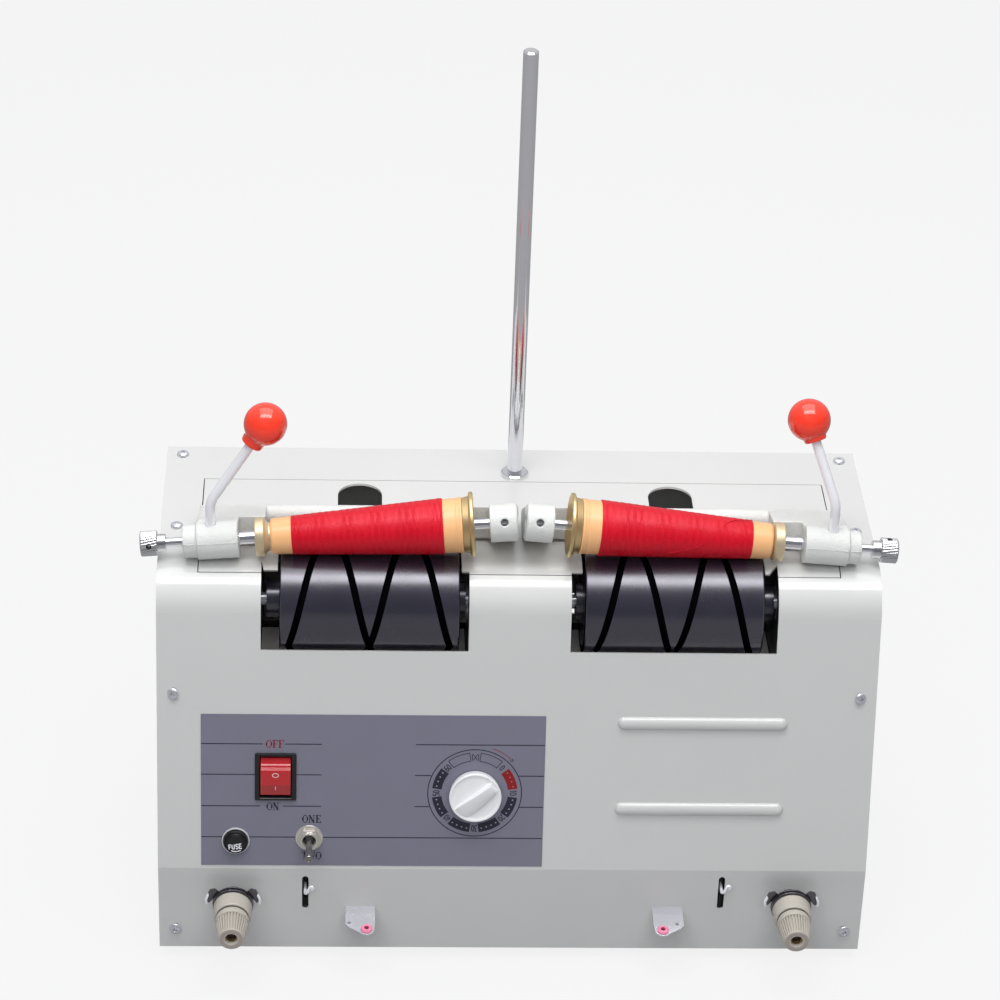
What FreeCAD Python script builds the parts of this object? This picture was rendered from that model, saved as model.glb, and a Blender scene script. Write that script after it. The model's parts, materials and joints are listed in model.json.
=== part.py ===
import FreeCAD, Part
import math
import os

# Yarn cone winder with two winding heads. Millimetres, +Z up, the front faces -Y.
# The pieces are drawn about the middle of the housing's footprint. The last step moves them back by
# base_shift, so that the origin is the middle of the whole machine's base, on the surface it stands on.

# Housing
housing_width = 440.0
housing_depth = 198.0
foot_height = 8.0
strip_height = 61.0
panel_length = 168.0
panel_lean = math.radians(12.0)
bend_radius = 28.0
sheet = 1.5
back_flange = 12.0
flange_width = 15.0
side_inset = 1.0

# Lid and windows
lid_half_width = 195.5
lid_back_y = 59.0
lid_lip_angle = math.radians(25.0)
window_lip_angle = math.radians(20.0)
seam = 0.6
window_inner = 31.0
window_outer = 157.0
window_bottom = 144.6
notch_back_y = -13.0
arm_slot_x = 97.4
arm_slot_width = 27.6
arm_slot_end_y = 54.7
lip_notch_width = {"left": 1.8, "right": 6.8}

# Panel screws, ribs and strip slots
screw_x = 210.0
screw_head_radius = 3.85
screw_hole_radius = 2.5
screw_slot_length = 8.0
rib_x = (61.5, 166.0)
rib_rows = (41.8, 98.8)
rib_width = 8.2
rib_height = 3.0
stop_slot_x = {"left": -129.0, "right": 130.5}
stop_slot_z = {"left": (38.0, 63.0), "right": (39.0, 64.0)}
stop_pin_z = {"left": 52.4, "right": 54.5}
stop_slot_width = 4.0
stop_pivot_y = -62.0
stop_wire_radius = 1.1

# Controls: distance along X and distance up the panel from its fold
label_x = (-193.3, 17.5)
label_t = (2.4, 103.0)
label_thickness = 0.4
rocker_centre = (-147.6, 61.6)
rocker_frame_size = (25.4, 31.0)
rocker_opening = (19.2, 27.4)
fuse_centre = (-172.0, 19.2)
toggle_centre = (-126.8, 21.1)
toggle_tilt = 13.0
dial_centre = (-25.4, 51.6)
knob_radius = 16.25
knob_bar_angle = 40.0

# Winding heads
drum_radius = 33.0
drum_half_length = 54.5
drum_offset = 1.1
drum_spacing = 92.4
drum_wall = 7.0
drum_hub_radius = 11.5
drum_hub_lengths = {"inner": 4.0, "outer": 8.0}
groove_reach = 49.0
groove_turns = 2
groove_width = 4.4
groove_depths = (4.6, 4.2)
groove_start = {"left": -242.0, "right": -220.0}
shaft_radius = 4.0
running_gap = 0.04
plate_thickness = 3.0
inner_plate_x = 28.0
outer_plate_x = 158.0
bearing_radius = 11.0
bearing_width = 7.0
drum_shelf_z = 186.0
shelf_y = (-66.5, -4.7)
pivot_y = 39.0
pivot_z = 236.0

# Belt drive
pulley_x = (9.0, 20.0)
drum_pulley_radius = 20.0
motor_pulley_radius = 8.5
pulley_flange = 2.0
belt_thickness = 1.8
belt_gap = 0.3
motor_y = 12.0
motor_z = 78.0
motor_radius = 25.0
motor_length = 62.0

# Spindle line: it lies over the drum's axis and drops towards its outer end
spindle_tilt = math.radians(4.6)
spindle_x = 93.0
spindle_z = 276.4
sleeve_radius = 11.6
sleeve_end_radius = 10.3
outer_sleeve = {"left": (170.8, 195.6, 204.6), "right": (172.4, 199.2, 207.2)}
plunger_radius = 4.0
pull_rod_radius = 2.8
spindle_radius = 3.2
small_flange = {"left": (155.6, 160.8), "right": (154.2, 159.8)}
small_neck_radius = {"left": 10.2, "right": 9.2}
tube_ends = (35.5, 152.5)
tube_radii = (16.9, 10.9)
tube_wall = 2.0
yarn_ends = (47.0, 140.0)
yarn_radii = (17.1, 11.75)
backbone_y = 3.0
backbone_z = 263.5
backbone_radius = 6.0

# Lifting levers: where each rod stands on its sleeve, and the middle of its ball
lever_station = {"left": 188.0, "right": 190.3}
lever_bend_z = {"left": 295.6, "right": 298.0}
lever_radius = 3.0
lever_ball_radius = 13.0
lever_ball_centre = {"left": (-154.6, -30.8, 346.3), "right": (172.8, -13.2, 343.3)}

# Yarn tensioners and eyelets
tensioner_x = 173.5
tensioner_z = 49.0
eyelet_bracket = {
    "left": {"edges": (-85.6, -103.9), "eyelet": -90.8, "hole": -101.6},
    "right": {"edges": (87.8, 106.7), "eyelet": 93.3, "hole": 102.5},
}
shelf_z = 39.0
shelf_slope = math.radians(7.0)

# Stand
pole_x = 0.6
pole_y = 68.5
pole_radius = 4.7
pole_thread_radius = 4.4
pole_top = 546.5
pole_nut_height = 2.6

# Mains cable gland in the rear panel
gland_x = 165.0
gland_z = 45.0
gland_radius = 7.5
gland_bore = 3.6
gland_ends = (85.0, 107.0)

heads = {"left": -1, "right": 1}

# The tension knobs reach further in front of the housing than the gland does behind it
tension_knob_reach = 45.4
base_shift = (housing_depth / 2 + tension_knob_reach - gland_ends[1]) / 2

front_y = -housing_depth / 2
back_y = housing_depth / 2
half_width = housing_width / 2
fold_z = foot_height + strip_height
lean_sin = math.sin(panel_lean)
lean_cos = math.cos(panel_lean)
bend_y = front_y + panel_length * lean_sin + bend_radius * lean_cos
bend_z = fold_z + panel_length * lean_cos - bend_radius * lean_sin
top_z = bend_z + bend_radius
floor_z = foot_height + sheet


def vec(x, y, z):
    return FreeCAD.Vector(x, y, z)


def box(x, y, z):
    low = vec(min(x), min(y), min(z))
    return Part.makeBox(abs(x[1] - x[0]), abs(y[1] - y[0]), abs(z[1] - z[0]), low)


def rod(start, end, radius):
    run = end - start
    return Part.makeCylinder(radius, run.Length, start, run)


def polygon_face(points):
    return Part.Face(Part.makePolygon(points + [points[0]]))


def extrude_x(outline, x_low, x_high):
    """A prism along X from an outline of (y, z) points."""
    points = [vec(x_low, y, z) for y, z in outline]
    return polygon_face(points).extrude(vec(x_high - x_low, 0, 0))


def extrude_z(outline, z_low, z_high):
    points = [vec(x, y, z_low) for x, y in outline]
    return polygon_face(points).extrude(vec(0, 0, z_high - z_low))


def turned(origin, direction, stations, bore=0.0):
    """A body of revolution from (distance, radius) stations along a line."""
    outline = [vec(bore, 0, stations[0][0])]
    outline += [vec(radius, 0, distance) for distance, radius in stations]
    outline.append(vec(bore, 0, stations[-1][0]))
    body = polygon_face(outline).revolve(vec(0, 0, 0), vec(0, 0, 1), 360)
    body.Placement = FreeCAD.Placement(origin, FreeCAD.Rotation(vec(0, 0, 1), direction))
    return body


def fused(shapes):
    return shapes[0].multiFuse(shapes[1:]).removeSplitter()


def group(shapes):
    return Part.makeCompound(shapes)


def on_panel(shape):
    """Moves a shape drawn as (x, distance up the panel, distance out of it) onto the panel."""
    turn = FreeCAD.Rotation(vec(1, 0, 0), 90 - math.degrees(panel_lean))
    placed = shape.copy()
    placed.Placement = FreeCAD.Placement(vec(0, front_y, fold_z), turn).multiply(placed.Placement)
    return placed


# Housing


def housing_prism(half_length, inset, base_z):
    """The housing's outline, moved inwards by an inset, as a prism along X."""
    radius = bend_radius - inset
    fold_inset = inset * math.tan(panel_lean / 2)
    front = front_y + inset
    back = back_y - inset
    crown = top_z - inset
    half_turn = (math.pi / 2 - panel_lean) / 2
    low = vec(-half_length, front, base_z)
    fold = vec(-half_length, front, fold_z - fold_inset)
    bend_start = vec(-half_length, bend_y - radius * lean_cos, bend_z + radius * lean_sin)
    middle_y = bend_y - radius * math.sin(half_turn)
    bend_middle = vec(-half_length, middle_y, bend_z + radius * math.cos(half_turn))
    bend_end = vec(-half_length, bend_y, crown)
    back_top = vec(-half_length, back, crown)
    back_low = vec(-half_length, back, base_z)
    edges = [
        Part.LineSegment(low, fold).toShape(),
        Part.LineSegment(fold, bend_start).toShape(),
        Part.Arc(bend_start, bend_middle, bend_end).toShape(),
        Part.LineSegment(bend_end, back_top).toShape(),
        Part.LineSegment(back_top, back_low).toShape(),
        Part.LineSegment(back_low, low).toShape(),
    ]
    return Part.Face(Part.Wire(edges)).extrude(vec(2 * half_length, 0, 0))


def sheet_shell(half_length):
    outer = housing_prism(half_length, 0.0, foot_height)
    return outer.cut(housing_prism(half_length + 1, sheet, foot_height - 5))


def seam_prism(x, angle, y_end):
    """The space above the bend's centre, from an angle down the bend back to y_end."""
    reach = 2 * bend_radius
    outline = [
        (bend_y, bend_z),
        (bend_y - reach * math.sin(angle), bend_z + reach * math.cos(angle)),
        (bend_y - reach * math.sin(angle), bend_z + 2 * reach),
        (y_end, bend_z + 2 * reach),
        (y_end, bend_z),
    ]
    return extrude_x(outline, x[0], x[1])


def seam_angle(gap):
    return gap / bend_radius


def window_spaces(side):
    """Each window runs from its bottom edge on the panel up to the lid's lip."""
    x = sorted((side * window_inner, side * window_outer))
    flat = on_panel(box(x, (window_bottom, panel_length + 1), (-10, 10)))
    curve = seam_prism(x, math.pi / 2 - panel_lean, bend_y)
    return [flat, curve]


def round_hole(centre, radius):
    return on_panel(Part.makeCylinder(radius, 20, vec(centre[0], centre[1], -10)))


def control_holes():
    frame_x, frame_t = rocker_frame_size
    x, t = rocker_centre
    wall = 1.5
    rocker = on_panel(box(
        (x - frame_x / 2 + wall, x + frame_x / 2 - wall),
        (t - frame_t / 2 + wall, t + frame_t / 2 - wall),
        (-10, 10),
    ))
    round_places = ((fuse_centre, 7.0), (toggle_centre, 5.5), (dial_centre, 4.7))
    return [rocker] + [round_hole(centre, radius) for centre, radius in round_places]


def rib(row, radius, length_trim):
    x = (rib_x[0] + rib_width / 2 + length_trim, rib_x[1] - rib_width / 2 - length_trim)
    bar = rod(vec(x[0], row, 0), vec(x[1], row, 0), radius)
    ends = [Part.makeSphere(radius, vec(end, row, 0)) for end in x]
    return fused([bar] + ends)


def embossed_ribs(depth):
    """Half-round ribs, or with a depth the hollows behind them."""
    squash = FreeCAD.Matrix()
    radius = rib_width / 2 - depth
    squash.scale(1, 1, (rib_height - depth) / radius)
    ribs = []
    for row in rib_rows:
        flat = rib(0, radius, 0).transformGeometry(squash)
        flat.translate(vec(0, row, 0))
        ribs.append(on_panel(flat))
    return ribs


def screw_places():
    """Each cover screw's point on the outer surface, its outward axis and its slot's direction."""
    panel_normal = vec(0, -lean_cos, lean_sin)
    panel_run = vec(0, lean_sin, lean_cos)
    places = []
    for x in (-screw_x, screw_x):
        for y in (1.0, 88.5):
            places.append((vec(x, y, top_z), vec(0, 0, 1), vec(0, 1, 0)))
        along = vec(x, front_y, fold_z) + panel_run * 116.0
        places.append((along, panel_normal, panel_run))
        places.append((vec(x, front_y, foot_height + 14.3), vec(0, -1, 0), vec(0, 0, 1)))
    return places


def rear_screw_places():
    rows = (22.0, 125.0, 228.0)
    return [(vec(x, back_y, z), vec(0, 1, 0)) for x in (-screw_x, screw_x) for z in rows]


def screw_slot(point, axis, run):
    half = run * (screw_slot_length / 2 - screw_hole_radius)
    ends = []
    for place in (point - half, point + half):
        ends.append(rod(place - axis * 5, place + axis * 5, screw_hole_radius))
    width = axis.cross(run) * screw_hole_radius
    corners = [point + half + width, point + half - width, point - half - width, point - half + width]
    middle = polygon_face([corner - axis * 5 for corner in corners]).extrude(axis * 10)
    return fused(ends + [middle])


def front_cover():
    cover = sheet_shell(half_width)
    below_flange = box((-half_width - 1, half_width + 1), (back_y - 5, back_y + 5), (0, top_z - back_flange))
    opening = seam_prism((-lid_half_width, lid_half_width), lid_lip_angle, lid_back_y)
    cover = cover.fuse(embossed_ribs(0.0))
    cuts = embossed_ribs(sheet)
    cuts += [below_flange, opening]
    for side in heads.values():
        cuts += window_spaces(side)
    cuts += control_holes()
    cuts += [screw_slot(*place) for place in screw_places()]
    cuts.append(rod(vec(pole_x, pole_y, top_z - 5), vec(pole_x, pole_y, top_z + 5), pole_thread_radius))
    for name, side in heads.items():
        cuts.append(stop_slot(name))
        x = side * tensioner_x
        cuts.append(rod(vec(x, -90, tensioner_z), vec(x, -110, tensioner_z), 2.5))
        low, high = sorted(eyelet_bracket[name]["edges"])
        cuts.append(box((low, high), (-110, -90), (shelf_z, shelf_z + 1.2)))
    return cover.cut(cuts)


def stop_slot(name):
    x = stop_slot_x[name]
    low, high = stop_slot_z[name]
    radius = stop_slot_width / 2
    ends = [rod(vec(x, -110, z), vec(x, -90, z), radius) for z in (low + radius, high - radius)]
    middle = box((x - radius, x + radius), (-110, -90), (low + radius, high - radius))
    return fused(ends + [middle])


def lip_notch(name):
    """The slanting cut at the lip's outer corner beside a window."""
    side = heads[name]
    front = bend_y - bend_radius * math.sin(window_lip_angle) - 2
    back = bend_y - 1.5
    corners = [
        (side * window_outer, back), (side * window_outer, front),
        (side * (window_outer - lip_notch_width[name]), front),
    ]
    return extrude_z(corners, top_z - 12, top_z + 5)


def top_lid():
    half = lid_half_width - seam
    zone = seam_prism((-half, half), lid_lip_angle - seam_angle(seam), lid_back_y - seam)
    lid = sheet_shell(half).common(zone)
    cuts = []
    for name, side in heads.items():
        drum_x = side * drum_spacing + drum_offset
        notch_half = drum_half_length + 1.2
        cuts.append(seam_prism((drum_x - notch_half, drum_x + notch_half), math.pi / 2, notch_back_y))
        cuts.append(lip_notch(name))
        window = sorted((side * window_inner, side * window_outer))
        lip = seam_prism(window, math.pi / 2, bend_y)
        cuts.append(lip.cut(seam_prism(window, window_lip_angle, bend_y)))
        x = side * arm_slot_x
        radius = arm_slot_width / 2
        end_y = arm_slot_end_y - radius
        cuts.append(rod(vec(x, end_y, top_z - 10), vec(x, end_y, top_z + 5), radius))
        cuts.append(box((x - radius, x + radius), (notch_back_y - 2, end_y), (top_z - 10, top_z + 5)))
    return lid.cut(cuts)


def stop_pivot(name):
    x = stop_slot_x[name]
    z = stop_pin_z[name]
    tab = box((x + 3, x + 5), (stop_pivot_y - 5, stop_pivot_y + 5), (floor_z - sheet / 2, z + 5))
    pin = rod(vec(x - 2.5, stop_pivot_y, z), vec(x + 4, stop_pivot_y, z), 1.5)
    return [tab, pin]


def chassis():
    """Floor and side walls bent from one sheet, with flanges that the covers are screwed to."""
    half = half_width - side_inset
    outer = housing_prism(half, sheet, foot_height)
    hollow = housing_prism(half - sheet, 2 * sheet, floor_z)
    middle = box((-half + flange_width, half - flange_width), (-120, 120), (floor_z, 400))
    shell = outer.cut([hollow, middle])
    posts = []
    for name in heads:
        posts += stop_pivot(name)
    shell = shell.fuse(posts)
    holes = [rod(point - axis * 8, point + axis, 1.6) for point, axis, run in screw_places()]
    holes += [rod(point - axis * 8, point + axis, 1.6) for point, axis in rear_screw_places()]
    return shell.cut(holes)


def rear_panel():
    half = half_width - side_inset
    panel = box((-half, half), (back_y - sheet, back_y), (foot_height, top_z - back_flange - 0.5))
    cuts = [rod(vec(gland_x, 80, gland_z), vec(gland_x, 120, gland_z), gland_radius)]
    for side in heads.values():
        for row in range(8):
            z = 60 + 12 * row
            cuts.append(box((side * 60 - 25, side * 60 + 25), (90, 110), (z, z + 4)))
    cuts += [rod(point - axis * 5, point + axis * 5, 2.2) for point, axis in rear_screw_places()]
    return panel.cut(cuts)


def cable_gland():
    stations = [(gland_ends[0], 10.0), (back_y - sheet, 10.0), (back_y - sheet, gland_radius)]
    stations += [(back_y, gland_radius), (back_y, 10.5), (102.0, 10.5), (gland_ends[1], 7.0)]
    return turned(vec(gland_x, 0, gland_z), vec(0, 1, 0), stations, gland_bore)


def screw(point, axis, head_lift):
    head = [(-7, 1.6), (head_lift, 1.6), (head_lift, screw_head_radius)]
    head += [(head_lift + 1.2, screw_head_radius), (head_lift + 2.0, screw_head_radius * 0.72)]
    head += [(head_lift + 2.3, 0.9)]
    body = turned(point, axis, head)
    drive_depth = 1.2
    side = axis.cross(vec(1, 0, 0)).normalize()
    top = point + axis * (head_lift + 2.4)
    cuts = []
    for along, across in ((vec(1, 0, 0), side), (side, vec(1, 0, 0))):
        corners = []
        for a, b in ((1, 1), (1, -1), (-1, -1), (-1, 1)):
            corners.append(top + along * (2.1 * a) + across * (0.45 * b))
        cuts.append(polygon_face(corners).extrude(axis * -drive_depth))
    return body.cut(cuts)


def cover_screws():
    front = [screw(point, axis, 0.0) for point, axis, run in screw_places()]
    rear = [screw(point, axis, 0.0) for point, axis in rear_screw_places()]
    return group(front + rear)


def rubber_feet():
    stations = [(0, 9.0), (foot_height, 10.5)]
    places = [(x, y) for x in (-195, 195) for y in (-78, 78)]
    return group([turned(vec(x, y, 0), vec(0, 0, 1), stations) for x, y in places])


# Controls on the panel


def control_label():
    plate = box(label_x, label_t, (0, label_thickness))
    return on_panel(plate).cut(control_holes())


def rocker_frame():
    width, length = rocker_frame_size
    x, t = rocker_centre
    wall = 1.5
    bezel = box((x - width / 2, x + width / 2), (t - length / 2, t + length / 2), (label_thickness, 2.2))
    inner = (x - width / 2 + wall, x + width / 2 - wall), (t - length / 2 + wall, t + length / 2 - wall)
    body = box(inner[0], inner[1], (-22, label_thickness))
    opening = box(
        (x - rocker_opening[0] / 2, x + rocker_opening[0] / 2),
        (t - rocker_opening[1] / 2, t + rocker_opening[1] / 2),
        (-15, 5),
    )
    terminals = [box((x - 3, x + 3), (t + k - 0.4, t + k + 0.4), (-30, -22)) for k in (-8, 0, 8)]
    return on_panel(fused([bezel, body] + terminals).cut(opening))


def rocker():
    """The rocker's O end is pressed in: a flat face, a rounded pressed end and a sloping raised end."""
    x, t = rocker_centre
    half = rocker_opening[0] / 2 - 0.35
    outline = [
        (-11.4, -7.0), (-11.8, 2.2), (-4.6, 4.4), (5.4, 3.0), (8.9, 2.2), (12.1, 0.6), (11.6, -7.0),
    ]
    points = [vec(x - half, t + across, out) for across, out in outline]
    return on_panel(polygon_face(points).extrude(vec(2 * half, 0, 0)))


def toggle_body():
    x, t = toggle_centre
    base = vec(x, t, 0)
    housing = box((x - 6.5, x + 6.5), (t - 6.5, t + 6.5), (-22, -sheet))
    stations = [(-sheet, 5.5), (label_thickness, 5.5), (label_thickness, 8.25), (1.2, 8.25), (1.2, 7.2)]
    stations += [(3.4, 7.2), (3.9, 6.4), (3.9, 5.2), (6.3, 5.2), (6.6, 4.9)]
    bush = turned(base, vec(0, 0, 1), stations)
    bore = turned(base, vec(0, 0, 1), [(-12, 4.1), (7, 4.1)])
    return on_panel(fused([housing, bush]).cut(bore))


def toggle_lever():
    x, t = toggle_centre
    tilt = math.radians(toggle_tilt)
    direction = vec(0, -math.sin(tilt), math.cos(tilt))
    stations = [(-7, 1.4), (-1.6, 1.4), (-1.6, 2.6), (1.6, 2.6), (1.6, 1.6)]
    stations += [(17.5, 2.2), (19.5, 2.7), (21.2, 2.1), (21.8, 0.9)]
    return on_panel(turned(vec(x, t, 2.0), direction, stations))


def fuse_holder():
    x, t = fuse_centre
    stations = [(-34, 4.5), (-30, 7.0), (label_thickness, 7.0), (label_thickness, 8.5), (1.8, 8.2)]
    return on_panel(turned(vec(x, t, 0), vec(0, 0, 1), stations, bore=4.3).cut(
        Part.makeCylinder(6.2, 12, vec(x, t, -8))))


def fuse_cap():
    x, t = fuse_centre
    stations = [(-24, 3.9), (-7.5, 3.9), (-7.5, 5.8), (2.1, 5.8), (2.1, 7.4), (8.2, 7.2), (9.0, 6.4)]
    return on_panel(turned(vec(x, t, 0), vec(0, 0, 1), stations))


def potentiometer():
    x, t = dial_centre
    stations = [(-20, 12.0), (-6, 12.0), (-6, 4.7), (label_thickness, 4.7)]
    nut = [(label_thickness, 4.7), (label_thickness, 7.0), (2.4, 7.0), (2.4, 4.7)]
    body = turned(vec(x, t, 0), vec(0, 0, 1), stations + nut[1:], bore=3 + running_gap)
    return on_panel(body)


def speed_knob():
    x, t = dial_centre
    base = vec(x, t, 0)
    shell = [(1.2, knob_radius), (6.5, 15.6), (8.0, 14.4), (8.3, 13.0)]
    disc = turned(base, vec(0, 0, 1), shell)
    recess = Part.makeCylinder(8.0, 2.2, vec(x, t, 0.6))
    bar_end = ((-4.6, 7.8), (4.6, 7.8), (3.2, 15.0), (-3.2, 15.0))
    bar = polygon_face([vec(-15.2, y, z) for y, z in bar_end]).extrude(vec(30.4, 0, 0))
    bar.rotate(vec(0, 0, 0), vec(0, 0, 1), knob_bar_angle)
    bar.translate(vec(x, t, 0))
    trim = turned(base, vec(0, 0, 1), [(1.0, knob_radius), (6.0, 15.7), (16.0, 14.6)])
    shaft = Part.makeCylinder(3.0, 16.0, vec(x, t, -13.0))
    return on_panel(fused([disc.cut(recess), bar.common(trim), shaft]))


def control_board():
    board = box((52, 140), (-40, 50), (floor_z + 6, floor_z + 7.6))
    spacers = [rod(vec(x, y, floor_z), vec(x, y, floor_z + 6), 3) for x in (58, 134) for y in (-34, 44)]
    sink = box((98, 132), (10, 38), (floor_z + 7.6, floor_z + 32))
    capacitor = rod(vec(74, 20, floor_z + 7.6), vec(74, 20, floor_z + 35), 9)
    relay = box((62, 82), (-28, -13), (floor_z + 7.6, floor_z + 22))
    terminal = box((92, 132), (-30, -20), (floor_z + 7.6, floor_z + 18))
    return fused([board, sink, capacitor, relay, terminal] + spacers)


# Winding heads: drums, bearings and belt drive


def plate_outline():
    disc_radius = bend_radius - sheet - 0.3
    front = bend_y - disc_radius * 0.8
    return [(front, floor_z), (60, floor_z), (60, top_z - sheet), (bend_y, top_z - sheet), (front, bend_z)]


def bearing_plate(x, outward):
    """One end plate: it carries a drum bearing, the cradle's pivot shaft and, if inner, the motor."""
    span = (x, x + plate_thickness)
    plate = extrude_x(plate_outline(), span[0], span[1])
    if outward > 0:
        boss = (span[0], span[0] + bearing_width)
    else:
        boss = (span[1] - bearing_width, span[1])
    shapes = [
        plate,
        rod(vec(span[0], bend_y, bend_z), vec(span[1], bend_y, bend_z), bend_radius - sheet - 0.3),
        rod(vec(boss[0], bend_y, bend_z), vec(boss[1], bend_y, bend_z), bearing_radius + 3),
        box((x - 14, x + 14 + plate_thickness), (-55, 55), (floor_z, floor_z + 2)),
    ]
    cuts = [
        rod(vec(x - 20, bend_y, bend_z), vec(x + 20, bend_y, bend_z), bearing_radius),
        rod(vec(x - 20, pivot_y, pivot_z), vec(x + 20, pivot_y, pivot_z), shaft_radius),
    ]
    if abs(x) < 50:
        cuts.append(rod(vec(x - 20, motor_y, motor_z), vec(x + 20, motor_y, motor_z), 7.0))
    return fused(shapes).cut(cuts)


def bearing_span(head_side, inner):
    if inner:
        end = inner_plate_x + plate_thickness
        span = (end - bearing_width, end)
    else:
        span = (outer_plate_x, outer_plate_x + bearing_width)
    return sorted((head_side * span[0], head_side * span[1]))


def drum_shelf(side):
    """The folded shelf below a drum that ties its two end plates together."""
    x = sorted((side * (inner_plate_x + plate_thickness), side * outer_plate_x))
    flat = box(x, (shelf_y[0], shelf_y[1]), (drum_shelf_z, drum_shelf_z + sheet))
    lip = box(x, (shelf_y[1] - sheet, shelf_y[1]), (drum_shelf_z, drum_shelf_z + 4.5))
    return [flat, lip]


def bearing_brackets():
    brackets = []
    for side in heads.values():
        shapes = drum_shelf(side)
        for start, outward in ((inner_plate_x, -side), (outer_plate_x, side)):
            x = start if side > 0 else -start - plate_thickness
            shapes.append(bearing_plate(x, outward))
        brackets.append(fused(shapes))
    return group(brackets)


def drum_bearings():
    rings = []
    for side in heads.values():
        for inner in (True, False):
            low, high = bearing_span(side, inner)
            base = vec(low, bend_y, bend_z)
            stations = [(0, bearing_radius), (high - low, bearing_radius)]
            rings.append(turned(base, vec(1, 0, 0), stations, bore=shaft_radius + running_gap))
    return group(rings)


def pivot_shafts():
    ends = (inner_plate_x - 3, outer_plate_x + plate_thickness + 3)
    bars = []
    for side in heads.values():
        points = [vec(side * end, pivot_y, pivot_z) for end in ends]
        bars.append(rod(points[0], points[1], shaft_radius))
    return group(bars)


def drum_middle(side):
    return side * drum_spacing + drum_offset


def groove_sweep(left_handed, depth):
    """One way of the traverse groove: a helix from one end of its reach to the other, about +Z."""
    pitch = 2 * groove_reach / groove_turns
    helix = Part.makeHelix(pitch, 2 * groove_reach, drum_radius, 0, left_handed)
    low = drum_radius - depth
    high = drum_radius + 2
    half = groove_width / 2
    corners = [vec(low, 0, -half), vec(high, 0, -half), vec(high, 0, half), vec(low, 0, half)]
    sweep = Part.BRepOffsetAPI.MakePipeShell(Part.Wire(helix.Edges))
    sweep.setFrenetMode(True)
    sweep.add(Part.makePolygon(corners + [corners[0]]))
    sweep.build()
    sweep.makeSolid()
    return sweep.shape()


def on_drum(shape, name):
    """Turns a shape about +Z to lie about the drum's axis, from the left end of the groove's reach."""
    turn = FreeCAD.Rotation(vec(1, 0, 0), groove_start[name])
    turn = turn.multiply(FreeCAD.Rotation(vec(0, 1, 0), 90))
    turn = turn.multiply(FreeCAD.Rotation(vec(0, 0, 1), 180))
    start = vec(drum_middle(heads[name]) - groove_reach, bend_y, bend_z)
    placed = shape.copy()
    placed.Placement = FreeCAD.Placement(start, turn)
    return placed


def drum(name):
    """The traverse drum: a hollow roller with two crossing helical grooves, end webs and short hubs."""
    half = drum_half_length
    left_hub = drum_hub_lengths["outer" if name == "left" else "inner"]
    right_hub = drum_hub_lengths["inner" if name == "left" else "outer"]
    stations = [
        (-half - left_hub, drum_hub_radius), (-half, drum_hub_radius),
        (-half, drum_radius - 1), (-half + 1, drum_radius), (half - 1, drum_radius), (half, drum_radius - 1),
        (half, drum_hub_radius), (half + right_hub, drum_hub_radius),
    ]
    origin = vec(drum_middle(heads[name]), bend_y, bend_z)
    hollow = [(-half + drum_wall, drum_radius - drum_wall), (half - drum_wall, drum_radius - drum_wall)]
    body = turned(origin, vec(1, 0, 0), stations, bore=shaft_radius)
    body = body.cut(turned(origin, vec(1, 0, 0), hollow, bore=drum_hub_radius))
    for left_handed, depth in zip((False, True), groove_depths):
        body = body.cut(on_drum(groove_sweep(left_handed, depth), name))
    return body


def drum_shaft(side):
    ends = (pulley_x[0] - 1, outer_plate_x + bearing_width + 1)
    return rod(vec(side * ends[0], bend_y, bend_z), vec(side * ends[1], bend_y, bend_z), shaft_radius)


def pulley(side, y, z, radius, bore):
    start, end = pulley_x
    rim = radius + pulley_flange
    stations = [
        (start, rim - 0.6), (start + 1.4, rim), (start + 1.4, radius), (end - 1.4, radius),
        (end - 1.4, rim), (end, rim - 0.6),
    ]
    return turned(vec(0, y, z), vec(side, 0, 0), stations, bore=bore)


def drum_pulley(side):
    return pulley(side, bend_y, bend_z, drum_pulley_radius, shaft_radius)


def motor_pulley(side):
    """The small pulley in one piece with the rotor's shaft."""
    shaft = rod(vec(side * 7, motor_y, motor_z), vec(side * 80, motor_y, motor_z), 3.0)
    return fused([pulley(side, motor_y, motor_z, motor_pulley_radius, 0.0), shaft])


def motors():
    start = inner_plate_x + plate_thickness
    bodies = []
    for side in heads.values():
        stations = [(start, 8.0), (start + 3, 8.0), (start + 3, motor_radius)]
        stations += [(start + motor_length, motor_radius), (start + motor_length + 4, motor_radius - 8)]
        body = turned(vec(0, motor_y, motor_z), vec(side, 0, 0), stations)
        bore = rod(vec(side * 20, motor_y, motor_z), vec(side * 81, motor_y, motor_z), 3 + running_gap)
        bodies.append(body.cut(bore))
    return group(bodies)


def belt_body(x, low_radius, high_radius):
    """The space inside a belt line: two discs and the strip between their outer tangents."""
    low = vec(x[0], motor_y, motor_z)
    high = vec(x[0], bend_y, bend_z)
    run = high - low
    angle = math.atan2(run.z, run.y)
    spread = math.acos((low_radius - high_radius) / run.Length)
    corners = []
    touching = ((low, low_radius, 1), (high, high_radius, 1), (high, high_radius, -1), (low, low_radius, -1))
    for centre, radius, sign in touching:
        direction = angle + sign * spread
        corners.append((centre.y + radius * math.cos(direction), centre.z + radius * math.sin(direction)))
    across = vec(x[1] - x[0], 0, 0)
    discs = [rod(low, low + across, low_radius), rod(high, high + across, high_radius)]
    return fused(discs + [extrude_x(corners, x[0], x[1])])


def drive_belts():
    belts = []
    for side in heads.values():
        x = sorted((side * (pulley_x[0] + 2), side * (pulley_x[1] - 2)))
        inner = (motor_pulley_radius + belt_gap, drum_pulley_radius + belt_gap)
        outer = (inner[0] + belt_thickness, inner[1] + belt_thickness)
        wide = (x[0] - 1, x[1] + 1)
        belts.append(belt_body(x, *outer).cut(belt_body(wide, *inner)))
    return group(belts)


# Cradle and what it carries. Stations are distances from the machine's middle along the spindle line.


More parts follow.
